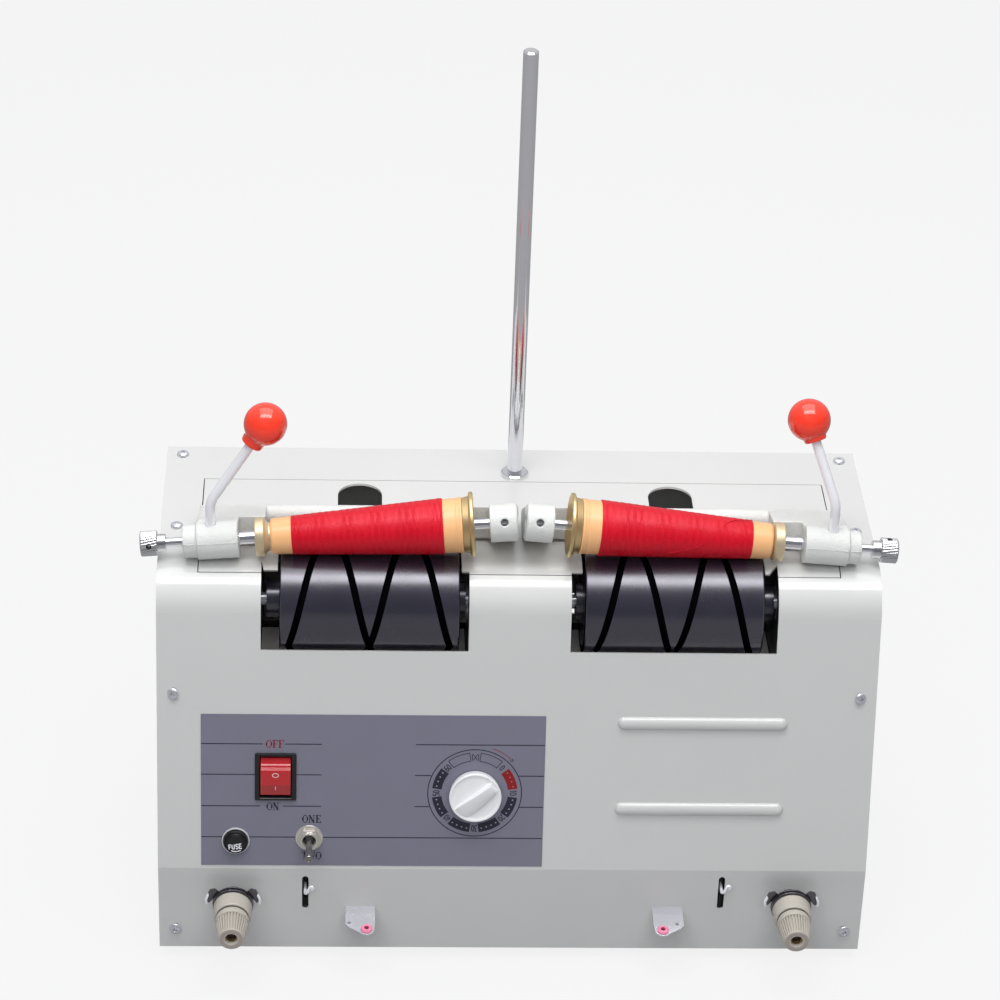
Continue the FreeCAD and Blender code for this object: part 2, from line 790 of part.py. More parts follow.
def spindle_direction(side):
    return vec(side * math.cos(spindle_tilt), 0, -math.sin(spindle_tilt))


def spindle_point(side, station):
    return vec(side * spindle_x, bend_y, spindle_z) + spindle_direction(side) * (station - spindle_x)


def on_spindle(side, stations, bore=0.0):
    return turned(spindle_point(side, 0), spindle_direction(side), stations, bore)


def arm(side, x, sleeve_z, crown, clear):
    """One arm of the cradle: behind a sleeve it runs back and down to the backbone."""
    outline = [
        (bend_y, sleeve_z + crown - 1.6),
        (bend_y + 5.5, sleeve_z + crown),
        (backbone_y, backbone_z + backbone_radius),
        (backbone_y + backbone_radius, backbone_z),
        (backbone_y + 2, backbone_z - backbone_radius),
        (clear["y"], backbone_z - backbone_radius),
        (bend_y, sleeve_z - 9.5),
    ]
    body = extrude_x(outline, side * x[0], side * x[1])
    in_front = box((side * clear["x"][0], side * clear["x"][1]), (bend_y - 30, clear["y"]), (240, 320))
    return body.cut(in_front)


def backbone(side, ends):
    points = [vec(side * end, backbone_y, backbone_z) for end in ends]
    return rod(points[0], points[1], backbone_radius)


def cradle(name):
    """A casting: two sleeves on the spindle line, two arms, a backbone and a middle arm to the pivot."""
    side = heads[name]
    start, step, end = outer_sleeve[name]
    chamber = (start + 3.5, step - 1.0)
    shaft_bore = plunger_radius + running_gap
    rod_bore = pull_rod_radius + running_gap
    inner_z = spindle_point(side, 10).z
    outer_z = spindle_point(side, 185).z
    shapes = [
        on_spindle(side, [(2, 10.6), (3, sleeve_radius), (19, sleeve_radius)]),
        on_spindle(side, [(start, sleeve_radius), (step, sleeve_radius)]),
        on_spindle(side, [(step - 1.0, sleeve_end_radius), (end, sleeve_end_radius - 0.3)]),
        arm(side, (2, 34), inner_z, 8.6, {"x": (19, 40), "y": -14.0}),
        arm(side, (155, step), outer_z, 10.7, {"x": (150, start), "y": -22.0}),
        backbone(side, (4, step - 2)),
        rod(vec(side * 82, pivot_y, pivot_z), vec(side * 113, pivot_y, pivot_z), 9.0),
        middle_arm(side),
    ]
    cuts = [
        on_spindle(side, [(1, spindle_radius), (20, spindle_radius)]),
        on_spindle(side, [(start - 1, shaft_bore), (chamber[0] + 1, shaft_bore)]),
        on_spindle(side, [(chamber[0], 7.2), (chamber[1], 7.2)]),
        on_spindle(side, [(chamber[1] - 1, rod_bore), (end + 1, rod_bore)]),
        rod(vec(side * 80, pivot_y, pivot_z), vec(side * 115, pivot_y, pivot_z), shaft_radius + running_gap),
        set_screw_hole(side),
        lever_hole(name),
    ]
    return fused(shapes).cut(cuts)


def middle_arm(side):
    run_y = pivot_y - backbone_y
    run_z = pivot_z - backbone_z
    length = math.hypot(run_y, run_z)
    across_y = -run_z / length * backbone_radius
    across_z = run_y / length * backbone_radius
    outline = [
        (backbone_y + across_y, backbone_z + across_z), (pivot_y + across_y, pivot_z + across_z),
        (pivot_y - across_y, pivot_z - across_z), (backbone_y - across_y, backbone_z - across_z),
    ]
    return extrude_x(outline, side * 90, side * 105)


def set_screw_hole(side):
    centre = spindle_point(side, 10.5)
    direction = vec(0, -math.cos(math.radians(31)), math.sin(math.radians(31)))
    return rod(centre + direction * 3, centre + direction * 15, 2.3)


def lever_base(name):
    point = spindle_point(heads[name], lever_station[name])
    return vec(point.x, point.y, point.z + sleeve_radius - 3.2)


def lever_hole(name):
    base = lever_base(name)
    return rod(base, base + vec(0, 0, 8), lever_radius)


def lever_path(name):
    """The rod's centre line: up from the sleeve, round a bend and on into the ball."""
    base = lever_base(name)
    corner = vec(base.x, base.y, lever_bend_z[name])
    ball = vec(*lever_ball_centre[name])
    direction = (ball - corner).normalize()
    tip = ball - direction * 3
    turn = direction.getAngle(vec(0, 0, 1))
    bend = 14.0
    cut_back = bend * math.tan(turn / 2)
    before = corner - vec(0, 0, cut_back)
    after = corner + direction * cut_back
    bisector = (direction - vec(0, 0, 1)).normalize()
    centre = corner + bisector * (bend / math.cos(turn / 2))
    middle = centre - bisector * bend
    edges = [
        Part.LineSegment(base, before).toShape(),
        Part.Arc(before, middle, after).toShape(),
        Part.LineSegment(after, tip).toShape(),
    ]
    return Part.Wire(edges), direction


def lever_rod(name):
    path, direction = lever_path(name)
    section = Part.Wire(Part.makeCircle(lever_radius, lever_base(name), vec(0, 0, 1)))
    return path.makePipeShell([section], True, False)


def lever_ball(name):
    path, direction = lever_path(name)
    ball = vec(*lever_ball_centre[name])
    collar = [(-15.0, 6.2), (-14.2, 7.0), (-11.0, 7.0)]
    body = fused([Part.makeSphere(lever_ball_radius, ball), turned(ball, direction, collar)])
    recess = turned(ball, direction, [(-16.0, 4.6), (-12.5, 4.6)])
    bore = turned(ball, direction, [(-16.0, lever_radius), (-3.0, lever_radius)])
    return body.cut([recess, bore])


def spindle(side):
    """The fixed shaft that the big centre turns on, with a retaining head inside the tube."""
    return on_spindle(side, [(3, spindle_radius), (54, spindle_radius), (54, 5.5), (58, 5.5)])


def tube_radius(station):
    share = (station - tube_ends[0]) / (tube_ends[1] - tube_ends[0])
    return tube_radii[0] + share * (tube_radii[1] - tube_radii[0])


def big_centre(side):
    nose = [(station, tube_radius(station) - tube_wall) for station in (tube_ends[0], 48)]
    nose.append((53.7, 8.0))
    stations = [(28.3, 18.6), (28.9, 19.85), (30.6, 19.85), (31.2, 18.9), (31.2, 17.2), (35.5, 16.2)]
    return on_spindle(side, stations + nose, bore=spindle_radius + running_gap)


def cone_tube(side):
    start, end = tube_ends
    rim = [(end - 0.8, tube_radius(end - 0.8)), (end, tube_radii[1] - 0.8)]
    outer = on_spindle(side, [(start, tube_radii[0])] + rim)
    inner = [(start - 1, tube_radius(start - 1) - tube_wall), (end + 1, tube_radius(end + 1) - tube_wall)]
    return outer.cut(on_spindle(side, inner))


def yarn(side):
    start, end = yarn_ends
    stations = [
        (start, tube_radius(start)), (start + 0.5, yarn_radii[0]),
        (end - 0.5, yarn_radii[1]), (end, tube_radius(end)),
    ]
    inside = on_spindle(side, [(start - 1, tube_radius(start - 1)), (end + 1, tube_radius(end + 1))])
    return on_spindle(side, stations).cut(inside)


def plunger(name):
    """The spring-loaded shaft: its collar stops inside the outer sleeve."""
    collar = outer_sleeve[name][0] + 3.9
    stations = [
        (149.8, plunger_radius), (collar, plunger_radius), (collar, 6.8), (collar + 2.6, 6.8),
        (collar + 2.6, plunger_radius), (collar + 6.6, plunger_radius),
        (collar + 6.6, pull_rod_radius), (228, pull_rod_radius),
    ]
    return on_spindle(heads[name], stations)


def plunger_knob(side):
    stations = [(215, 5.0), (215.5, 5.5), (220, 5.5), (220, 7.2)]
    stations += [(220.6, 7.65), (229.8, 7.65), (230.4, 7.0)]
    knob = on_spindle(side, stations)
    centre = spindle_point(side, 225)
    direction = vec(0, -math.cos(math.radians(20)), math.sin(math.radians(20)) * -side)
    bore = on_spindle(side, [(214, pull_rod_radius), (228, pull_rod_radius)])
    return knob.cut([bore, rod(centre + direction * 2.5, centre + direction * 10, 1.5)])


def small_centre(name):
    low, high = small_flange[name]
    stations = [
        (146, 7.2), (147.5, 8.2), (152.6, 8.5), (low - 1.1, small_neck_radius[name]), (low - 0.4, 11.6),
        (low, 11.9), (high - 0.4, 11.9), (high, 11.5),
    ]
    body = on_spindle(heads[name], stations)
    bore_radius = plunger_radius + running_gap
    bore = on_spindle(heads[name], [(149.5, bore_radius), (163, bore_radius)])
    return body.cut(bore)


# Yarn tensioners, eyelets and stop pins on the strip


def tensioner_turned(side, stations, bore=0.0):
    return turned(vec(side * tensioner_x, front_y, tensioner_z), vec(0, -1, 0), stations, bore)


def tension_posts():
    """A stud through the strip with its eared chrome disc."""
    posts = []
    for side in heads.values():
        x = side * tensioner_x
        stations = [(-8, 2.5), (0, 2.5), (0, 6.0), (2.0, 6.0), (2.0, 13.2), (3.2, 13.6)]
        stations += [(3.6, 13.0), (3.6, 2.5), (33, 2.5)]
        shapes = [tensioner_turned(side, stations)]
        for way in (-1, 1):
            ear = [(9.0, 6.5), (16.6, 2.0), (17.2, -4.0), (14.4, -4.6), (11.0, -1.0)]
            points = [vec(x + way * dx, front_y - 2.2, tensioner_z + dz) for dx, dz in ear]
            shapes.append(polygon_face(points).extrude(vec(0, -1.2, 0)))
            lip = [(16.0, 2.2), (16.8, 2.0), (17.4, -4.0), (16.4, -4.2)]
            points = [vec(x + way * dx, front_y - 2.2, tensioner_z + dz) for dx, dz in lip]
            shapes.append(polygon_face(points).extrude(vec(0, -4.6, 0)))
        posts.append(fused(shapes))
    return group(posts)


def tension_cups():
    stations = [(3.9, 11.6), (4.4, 12.3), (24.6, 11.5), (25.6, 11.1)]
    hollow = [(8.0, 9.4), (30.0, 9.4)]
    return group([
        tensioner_turned(side, stations, bore=2.5).cut(tensioner_turned(side, hollow, bore=2.5))
        for side in heads.values()
    ])


def tension_knob(side):
    stations = [(16.0, 9.0), (25.9, 9.0), (25.9, 10.2), (26.4, 10.4), (30.4, 10.2), (44.6, 8.2)]
    stations.append((tension_knob_reach, 7.6))
    knob = tensioner_turned(side, stations, bore=2.5 + running_gap)
    return knob.cut(tensioner_turned(side, [(36.0, 3.7), (46.0, 3.7)]))


def eyelet_bracket_shape(name):
    """A folded tab through the strip: its shelf slopes down to a rounded tip around the eyelet."""
    layout = eyelet_bracket[name]
    inner, outer = layout["edges"]
    thickness = 1.2
    tip_radius = 4.8
    root = box((inner, outer), (-106, -96.3), (shelf_z, shelf_z + thickness))
    leg = box((inner, outer), (-97.5, -96.3), (shelf_z - 14, shelf_z + thickness))
    way = 1 if outer > inner else -1
    tip = (layout["eyelet"], -120.0)
    outline = [
        (inner, -105.4), (outer, -105.4), (outer, -116.0), (outer - way * 2.5, -118.5),
        (tip[0] + way * tip_radius * 0.7, tip[1] - tip_radius * 0.7),
        (tip[0] - way * tip_radius, tip[1]), (inner, -114.0),
    ]
    shelf = extrude_z(outline, shelf_z, shelf_z + thickness)
    disc = Part.makeCylinder(tip_radius, thickness, vec(tip[0], tip[1], shelf_z))
    holes = [
        Part.makeCylinder(2.6, 10, vec(tip[0], tip[1], shelf_z - 5)),
        Part.makeCylinder(1.1, 10, vec(layout["hole"], -114.5, shelf_z - 5)),
    ]
    shelf = fused([shelf, disc]).cut(holes)
    shelf.rotate(vec(0, -105.6, shelf_z), vec(1, 0, 0), math.degrees(shelf_slope))
    return fused([root, leg, shelf])


def eyelet_brackets():
    return group([eyelet_bracket_shape(name) for name in heads])


def ceramic_eyelets():
    rings = []
    for name in heads:
        x = eyelet_bracket[name]["eyelet"]
        stations = [(-1.4, 2.2), (-1.2, 3.2), (0, 3.2), (0, 2.6)]
        stations += [(1.2, 2.6), (1.2, 3.7), (1.9, 3.7), (2.6, 3.0)]
        ring = turned(vec(x, -120.0, shelf_z), vec(0, 0, 1), stations, bore=1.5)
        ring.rotate(vec(0, -105.6, shelf_z), vec(1, 0, 0), math.degrees(shelf_slope))
        rings.append(ring)
    return group(rings)


def stop_pin(name):
    """A wire lever: an eye on its pivot, an arm out through the slot and a hooked end."""
    x = stop_slot_x[name]
    z = stop_pin_z[name]
    eye = rod(vec(x - 1.4, stop_pivot_y, z), vec(x + 1.4, stop_pivot_y, z), 4.0)
    hook_y = front_y - 4.5
    arm_wire = rod(vec(x, stop_pivot_y - 2, z), vec(x, hook_y, z), stop_wire_radius)
    hook_stations = [(-1.9, 0.8), (-1.5, 1.4), (2.0, 1.4), (2.0, 1.8), (4.6, 2.0), (5.6, 1.2)]
    hook = turned(vec(x, hook_y, z), vec(1, 0, 0), hook_stations)
    bore = rod(vec(x - 3, stop_pivot_y, z), vec(x + 3, stop_pivot_y, z), 1.5 + running_gap)
    return fused([eye, arm_wire, hook]).cut(bore)


# Stand


def stand_pole():
    """The pole's threaded foot passes through the cover between two round nuts."""
    shoulder = top_z + pole_nut_height
    stations = [(top_z - 16, pole_thread_radius), (shoulder, pole_thread_radius), (shoulder, pole_radius)]
    stations += [(pole_top - 1, pole_radius), (pole_top, pole_radius - 1)]
    return turned(vec(pole_x, pole_y, 0), vec(0, 0, 1), stations)


def pole_nuts():
    nuts = []
    for low, high in ((top_z, top_z + pole_nut_height), (top_z - sheet - 5, top_z - sheet)):
        stations = [(low, 8.2), (low + 0.8, 8.5), (high - 0.8, 8.5), (high, 7.6)]
        nuts.append(turned(vec(pole_x, pole_y, 0), vec(0, 0, 1), stations, bore=pole_thread_radius))
    return group(nuts)


def build_nodes():
    nodes = {
        "front_cover": front_cover(),
        "top_lid": top_lid(),
        "chassis": chassis(),
        "rear_panel": rear_panel(),
        "cable_gland": cable_gland(),
        "cover_screws": cover_screws(),
        "rubber_feet": rubber_feet(),
        "control_label": control_label(),
        "rocker_frame": rocker_frame(),
        "rocker": rocker(),
        "toggle_body": toggle_body(),
        "toggle_lever": toggle_lever(),
        "fuse_holder": fuse_holder(),
        "fuse_cap": fuse_cap(),
        "potentiometer": potentiometer(),
        "speed_knob": speed_knob(),
        "control_board": control_board(),
        "bearing_brackets": bearing_brackets(),
        "drum_bearings": drum_bearings(),
        "pivot_shafts": pivot_shafts(),
        "motors": motors(),
        "drive_belts": drive_belts(),
        "tension_posts": tension_posts(),
        "tension_cups": tension_cups(),
        "eyelet_brackets": eyelet_brackets(),
        "ceramic_eyelets": ceramic_eyelets(),
        "stand_pole": stand_pole(),
        "pole_nuts": pole_nuts(),
    }
    for name, side in heads.items():
        head_nodes = {
            "drum": drum(name),
            "drum_shaft": drum_shaft(side),
            "drum_pulley": drum_pulley(side),
            "motor_pulley": motor_pulley(side),
            "cradle": cradle(name),
            "lever_rod": lever_rod(name),
            "lever_ball": lever_ball(name),
            "spindle": spindle(side),
            "plunger": plunger(name),
            "plunger_knob": plunger_knob(side),
            "small_centre": small_centre(name),
            "big_centre": big_centre(side),
            "cone_tube": cone_tube(side),
            "yarn": yarn(side),
            "tension_knob": tension_knob(side),
            "stop_pin": stop_pin(name),
        }
        for piece, shape in head_nodes.items():
            nodes[name + "_" + piece] = shape
    return nodes


os.makedirs("parts", exist_ok=True)
for node, shape in build_nodes().items():
    shape.translate(vec(0, base_shift, 0))
    if not shape.isValid():
        print("invalid shape:", node)
    shape.exportStep("parts/" + node + ".step")
    print(node, "solids", len(shape.Solids), "volume", round(shape.Volume))
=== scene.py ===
import json
import random
from math import asin, cos, hypot, pi, radians, sin

import bmesh
import bpy
from mathutils import Matrix, Vector

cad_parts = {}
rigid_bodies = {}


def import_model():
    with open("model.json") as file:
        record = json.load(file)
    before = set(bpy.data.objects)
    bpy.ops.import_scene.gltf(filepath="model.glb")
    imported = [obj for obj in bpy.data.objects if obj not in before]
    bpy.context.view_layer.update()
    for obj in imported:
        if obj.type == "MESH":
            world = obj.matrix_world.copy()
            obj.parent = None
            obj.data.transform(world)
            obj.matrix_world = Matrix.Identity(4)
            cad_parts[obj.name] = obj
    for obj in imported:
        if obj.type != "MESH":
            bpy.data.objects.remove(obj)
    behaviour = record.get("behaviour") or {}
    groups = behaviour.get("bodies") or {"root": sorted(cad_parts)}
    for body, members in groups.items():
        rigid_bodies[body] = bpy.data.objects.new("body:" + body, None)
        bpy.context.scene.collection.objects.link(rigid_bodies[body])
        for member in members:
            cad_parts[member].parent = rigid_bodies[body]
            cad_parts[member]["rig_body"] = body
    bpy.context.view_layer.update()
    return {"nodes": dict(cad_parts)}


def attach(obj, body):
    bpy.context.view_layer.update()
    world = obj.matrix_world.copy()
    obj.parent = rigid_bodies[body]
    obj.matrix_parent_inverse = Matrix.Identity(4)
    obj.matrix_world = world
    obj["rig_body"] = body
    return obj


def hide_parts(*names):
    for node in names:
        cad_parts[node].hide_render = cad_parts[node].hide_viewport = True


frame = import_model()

mm = 0.001


def linked(name, data):
    piece = bpy.data.objects.new(name, data)
    bpy.context.scene.collection.objects.link(piece)
    return piece


def standing(place, right, up, out):
    # a place in mm with its own three axes
    return Matrix.Translation(Vector(place) * mm) @ Matrix((right, up, out)).transposed().to_4x4()


def facing(place, direction):
    # a place in metres whose Z points along a direction
    return Matrix.Translation(place) @ direction.to_track_quat("Z", "Y").to_matrix().to_4x4()


def setInputs(tree, node, values):
    for socket, value in values.items():
        if isinstance(value, bpy.types.NodeSocket):
            tree.links.new(value, node.inputs[socket])
        else:
            node.inputs[socket].default_value = value


def addNode(tree, kind, values=(), **settings):
    node = tree.nodes.new(kind)
    for key, value in settings.items():
        setattr(node, key, value)
    setInputs(tree, node, dict(values))
    return node


def addMath(tree, operation, *values):
    return addNode(tree, "ShaderNodeMath", enumerate(values), operation=operation).outputs[0]


def modify(piece, kind, **settings):
    modifier = piece.modifiers.new(kind, kind)
    for key, value in settings.items():
        setattr(modifier, key, value)
    return modifier


def baked(piece):
    # the plain mesh that a piece and its modifiers make
    view = bpy.context.evaluated_depsgraph_get()
    view.update()
    mesh = bpy.data.meshes.new_from_object(piece.evaluated_get(view))
    piece.modifiers.clear()
    return mesh


def meshOf(shape, name):
    mesh = bpy.data.meshes.new(name)
    shape.to_mesh(mesh)
    shape.free()
    return mesh


def cutBy(piece, shape):
    cutter = linked("cutter", meshOf(shape, "cutter"))
    modify(piece, "BOOLEAN", operation="DIFFERENCE", solver="EXACT", object=cutter)
    piece.data = baked(piece)
    bpy.data.objects.remove(cutter)


cameraSetup = {
    "place": (-109.1, -1816.9, 1371.3),   # mm
    "azimuth": 3.039,                     # degrees to the right of straight back
    "dip": 30.765,
    "roll": 2.13,
    "lens": 125.31,
    "sensor": 36.0,
    "farClip": 100,
}

stageSetup = {
    "floorSize": 40.0,                    # metres
    "floorColor": (0.42, 0.42, 0.43, 1),
    # how much of the seen floor is plain white, the rest keeps the shadow
    "whiteShare": 0.85,
    "mirroredFloor": 0.33,                # how bright shiny parts see the floor
    "lowLight": 0.13,                     # the room in front and low down
    "highLight": 0.55,                    # and behind and above
    "rise": (0, 0.6, 0.8),                # the way in which the room gets brighter
    "stops": (0.10, 0.75),                # from where to where on that way
}

lamps = (
    # name, place, aimed at, width, height (m), watts, whether shiny parts mirror it
    ("overhead", (0.0, 0.35, 2.05), (0, 0.35, 0.2), 1.8, 1.7, 18, True),
    ("overheadFront", (0.0, -0.5, 2.0), (0, -0.02, 0.2), 1.8, 0.55, 17, True),
    ("frontFill", (-0.3, -2.0, 2.1), (0, -0.1, 0.2), 2.4, 1.5, 36.5, False),
)


def addCamera(setup):
    azimuth, dip, roll = (radians(setup[k]) for k in ("azimuth", "dip", "roll"))
    ahead = Vector((sin(azimuth) * cos(dip), cos(azimuth) * cos(dip), -sin(dip)))
    level = Vector((cos(azimuth), -sin(azimuth), 0))
    upright = level.cross(ahead)
    right = cos(roll) * level + sin(roll) * upright
    up = -sin(roll) * level + cos(roll) * upright
    data = bpy.data.cameras.new("viewCamera")
    data.lens = setup["lens"]
    data.sensor_width = setup["sensor"]
    data.clip_end = setup["farClip"]
    camera = linked("viewCamera", data)
    camera.matrix_world = standing(setup["place"], right, up, -ahead)
    bpy.context.scene.camera = camera


def addLamp(name, place, aim, width, height, watts, mirrored):
    data = bpy.data.lights.new(name, "AREA")
    data.shape = "RECTANGLE"
    data.size, data.size_y, data.energy = width, height, watts
    lamp = linked(name, data)
    lamp.visible_glossy = mirrored
    lamp.location = place
    lamp.rotation_euler = (Vector(aim) - Vector(place)).to_track_quat("-Z", "Y").to_euler()


def addWorld(setup):
    world = bpy.data.worlds.new("studio")
    bpy.context.scene.world = world
    world.use_nodes = True
    tree = world.node_tree
    tree.nodes.clear()
    place = addNode(tree, "ShaderNodeTexCoord")
    slope = addNode(tree, "ShaderNodeVectorMath", {0: place.outputs["Generated"], 1: setup["rise"]},
                    operation="DOT_PRODUCT")
    ramp = addNode(tree, "ShaderNodeValToRGB", {0: slope.outputs["Value"]})
    low, high = setup["lowLight"], setup["highLight"]
    tones = ((low * 0.96, low, low * 1.15, 1), (high, high, high * 1.01, 1))
    for stop, position, tone in zip(ramp.color_ramp.elements, setup["stops"], tones):
        stop.position = position
        stop.color = tone
    lit = addNode(tree, "ShaderNodeBackground", {"Color": ramp.outputs[0]})
    seen = addNode(tree, "ShaderNodeBackground", {"Color": (1, 1, 1, 1)})
    path = addNode(tree, "ShaderNodeLightPath")
    mix = addNode(tree, "ShaderNodeMixShader",
                  {0: path.outputs["Is Camera Ray"], 1: lit.outputs[0], 2: seen.outputs[0]})
    addNode(tree, "ShaderNodeOutputWorld", {0: mix.outputs[0]})


def addFloor(setup):
    half = setup["floorSize"] / 2
    mesh = bpy.data.meshes.new("studioFloor")
    mesh.from_pydata([(-half, -half, 0), (half, -half, 0), (half, half, 0), (-half, half, 0)], [],
                     [(0, 1, 2, 3)])
    material = bpy.data.materials.new("whiteFloor")
    material.use_nodes = True
    tree = material.node_tree
    tree.nodes.clear()
    path = addNode(tree, "ShaderNodeLightPath")
    seen, mirrored = path.outputs["Is Camera Ray"], path.outputs["Is Glossy Ray"]
    matte = addNode(tree, "ShaderNodeBsdfDiffuse", {"Color": setup["floorColor"]})
    strength = addNode(tree, "ShaderNodeMapRange", {"Value": seen, "To Min": setup["mirroredFloor"]})
    plain = addNode(tree, "ShaderNodeEmission", {"Strength": strength.outputs[0]})
    share = addMath(tree, "MULTIPLY", addMath(tree, "MAXIMUM", seen, mirrored), setup["whiteShare"])
    mix = addNode(tree, "ShaderNodeMixShader", {0: share, 1: matte.outputs[0], 2: plain.outputs[0]})
    addNode(tree, "ShaderNodeOutputMaterial", {0: mix.outputs[0]})
    mesh.materials.append(material)
    linked("studioFloor", mesh)


bpy.context.scene.view_settings.view_transform = "Standard"
addCamera(cameraSetup)
addWorld(stageSetup)
addFloor(stageSetup)
for lamp in lamps:
    addLamp(*lamp)
print("camera, floor and lamps are in place")


# Each finish: its slot if it has one, colour, how far that wanders, roughness from and to, and its bumps'
# grain and depth in mm. What else the shader is given stands in finishExtras.
finishes = {
    "greyPaint": ("grey_paint", (0.595, 0.6, 0.592), 0.012, (0.36, 0.4), 1.6, 0.012),
    "castPaint": ("cast_grey", (0.655, 0.665, 0.65), 0.08, (0.42, 0.62), 1.3, 0.42),
    "blackPlastic": ("black_plastic", (0.012, 0.012, 0.014), 0.15, (0.28, 0.42), 0.5, 0.01),
    "blackRubber": ("black_rubber", (0.018, 0.018, 0.019), 0.2, (0.6, 0.8), 0.4, 0.02),
    "blackSteel": ("dark_steel", (0.02, 0.02, 0.024), 0.2, (0.32, 0.5), 0.8, 0.01),
    "slateLabel": (None, (0.185, 0.183, 0.24), 0.05, (0.3, 0.38), 0.7, 0.004),
    "drumGloss": ("drum_black", (0.018, 0.017, 0.028), 0.12, (0.24, 0.3), 0.9, 0.003),
    "chrome": ("chrome", (0.84, 0.84, 0.88), 0.02, (0.08, 0.16), 1.2, 0.003),
    "steelGrey": ("nickel", (0.34, 0.33, 0.33), 0.05, (0.14, 0.24), 0.8, 0.004),
    # painted reflection: a chrome that is mostly matte white, with the bright room's reflection in its
    # colour
    "leverChrome": ("chrome", (0.93, 0.93, 0.97), 0.02, (0.12, 0.2), 1.2, 0.003),
    # painted reflection: a chrome with a dark base, with a dark reflection in its colour
    "darkChrome": ("chrome", (0.17, 0.165, 0.18), 0.05, (0.14, 0.26), 0.8, 0.006),
    "goldBrass": ("brass", (0.8, 0.6, 0.31), 0.08, (0.28, 0.4), 0.7, 0.008),
    "zincSteel": ("bright_steel", (0.74, 0.75, 0.8), 0.06, (0.2, 0.34), 0.9, 0.006),
    "nickel": ("nickel", (0.72, 0.69, 0.63), 0.05, (0.2, 0.32), 0.8, 0.005),
    "aluminium": ("aluminium", (0.78, 0.78, 0.8), 0.04, (0.22, 0.36), 0.6, 0.008),
    "brass": ("brass", (0.78, 0.64, 0.42), 0.08, (0.34, 0.48), 0.7, 0.008),
    "tanTube": ("tan_plastic", (0.84, 0.46, 0.21), 0.06, (0.3, 0.42), 0.8, 0.012),
    "redYarn": ("red_yarn", (0.6, 0.005, 0.018), 0.12, (0.34, 0.46), 0.25, 0.05),
    "redBall": ("red_plastic", (0.92, 0.048, 0.022), 0.04, (0.12, 0.2), 2.0, 0.01),
    "redRocker": ("red_plastic", (0.44, 0.007, 0.012), 0.04, (0.14, 0.22), 0.8, 0.004),
    "beigePlastic": ("beige_plastic", (0.46, 0.43, 0.38), 0.05, (0.36, 0.46), 0.6, 0.01),
    "palePlastic": (None, (0.5, 0.5, 0.52), 0.03, (0.3, 0.4), 0.6, 0.006),
    "whitePlastic": ("white_plastic", (0.8, 0.8, 0.82), 0.02, (0.34, 0.44), 0.6, 0.008),
    "pinkCeramic": ("pink_ceramic", (0.8, 0.24, 0.38), 0.05, (0.1, 0.16), 0.8, 0.004),
    "navyInk": (None, (0.018, 0.017, 0.036), 0.06, (0.4, 0.5), 0.3, 0.002),
    "redInk": (None, (0.24, 0.008, 0.012), 0.06, (0.4, 0.5), 0.3, 0.002),
    "paleInk": (None, (0.78, 0.78, 0.82), 0.03, (0.4, 0.5), 0.3, 0.002),
    "greyInk": (None, (0.42, 0.42, 0.47), 0.03, (0.4, 0.5), 0.3, 0.002),
    "darkBrown": (None, (0.02, 0.01, 0.008), 0.05, (0.3, 0.4), 0.5, 0.002),
    # painted shade in the eyelets' holes
    "darkRose": (None, (0.12, 0.002, 0.03), 0.05, (0.3, 0.4), 0.5, 0.002),
    "roseInk": (None, (0.62, 0.16, 0.14), 0.03, (0.4, 0.5), 0.3, 0.002),
    "greyBeige": ("beige_plastic", (0.36, 0.31, 0.28), 0.06, (0.3, 0.4), 0.6, 0.006),
    # partly painted light: the shelf's grey made paler for light reaching it through the window
    "greyShelf": (None, (0.8, 0.77, 0.75), 0.06, (0.34, 0.44), 0.8, 0.006),
    "greenBoard": (None, (0.02, 0.16, 0.06), 0.2, (0.3, 0.42), 1.5, 0.01),
}

finishExtras = {
    "greyPaint": {"Coat Weight": 1.0, "Coat Roughness": 0.1},
    "castPaint": {"Coat Weight": 0.15, "Coat Roughness": 0.3},
    "drumGloss": {"IOR": 2.0, "Specular Tint": (0.93, 0.91, 1.0, 1)},
    "chrome": {"Metallic": 0.92},
    "steelGrey": {"Metallic": 0.85},
    "leverChrome": {"Metallic": 0.2, "IOR": 1.8},
    "darkChrome": {"Metallic": 0.9},
    "goldBrass": {"Metallic": 0.9},
    "zincSteel": {"Metallic": 0.7},
    "nickel": {"Metallic": 0.65},
    "aluminium": {"Metallic": 1.0},
    "brass": {"Metallic": 0.7},
    "tanTube": {"Coat Weight": 0.2, "Coat Roughness": 0.2},
    "redYarn": {"Specular Tint": (1.0, 0.42, 0.5, 1), "IOR": 1.6},
    "redBall": {"Coat Weight": 0.5, "Coat Roughness": 0.06},
    "redRocker": {"Coat Weight": 0.5, "Coat Roughness": 0.08, "IOR": 1.65},
    "pinkCeramic": {"Coat Weight": 0.5},
}

broadNoise = {"scale": 40, "spread": (0.3, 0.7)}


def makeFinish(name, color, drift, rough, grain, depth):
    material = bpy.data.materials.new(name)
    material.use_nodes = True
    tree = material.node_tree
    place = addNode(tree, "ShaderNodeTexCoord").outputs["Object"]
    broad, fine = (addNode(tree, "ShaderNodeTexNoise",
                           {"Vector": place, "Scale": scale, "Detail": detail}).outputs["Fac"]
                   for scale, detail in ((broadNoise["scale"], 4), (1 / (grain * mm), 3)))
    darker, lighter = ([min(1, c * (1 + way)) for c in color] for way in (-drift, drift))
    blend = addNode(tree, "ShaderNodeMix", {"A": (*darker, 1), "B": (*lighter, 1), "Factor": broad},
                    data_type="RGBA")
    low, high = broadNoise["spread"]
    wear = addNode(tree, "ShaderNodeMapRange", {
        "From Min": low, "From Max": high, "To Min": rough[0], "To Max": rough[1], "Value": broad})
    bump = addNode(tree, "ShaderNodeBump", {"Strength": 1, "Distance": depth * mm, "Height": fine})
    setInputs(tree, tree.nodes["Principled BSDF"], {
        **finishExtras.get(name, {}), "Base Color": blend.outputs["Result"], "Roughness": wear.outputs[0],
        "Normal": bump.outputs[0]})
    return material


materials = {name: makeFinish(name, *spec[1:]) for name, spec in finishes.items()}

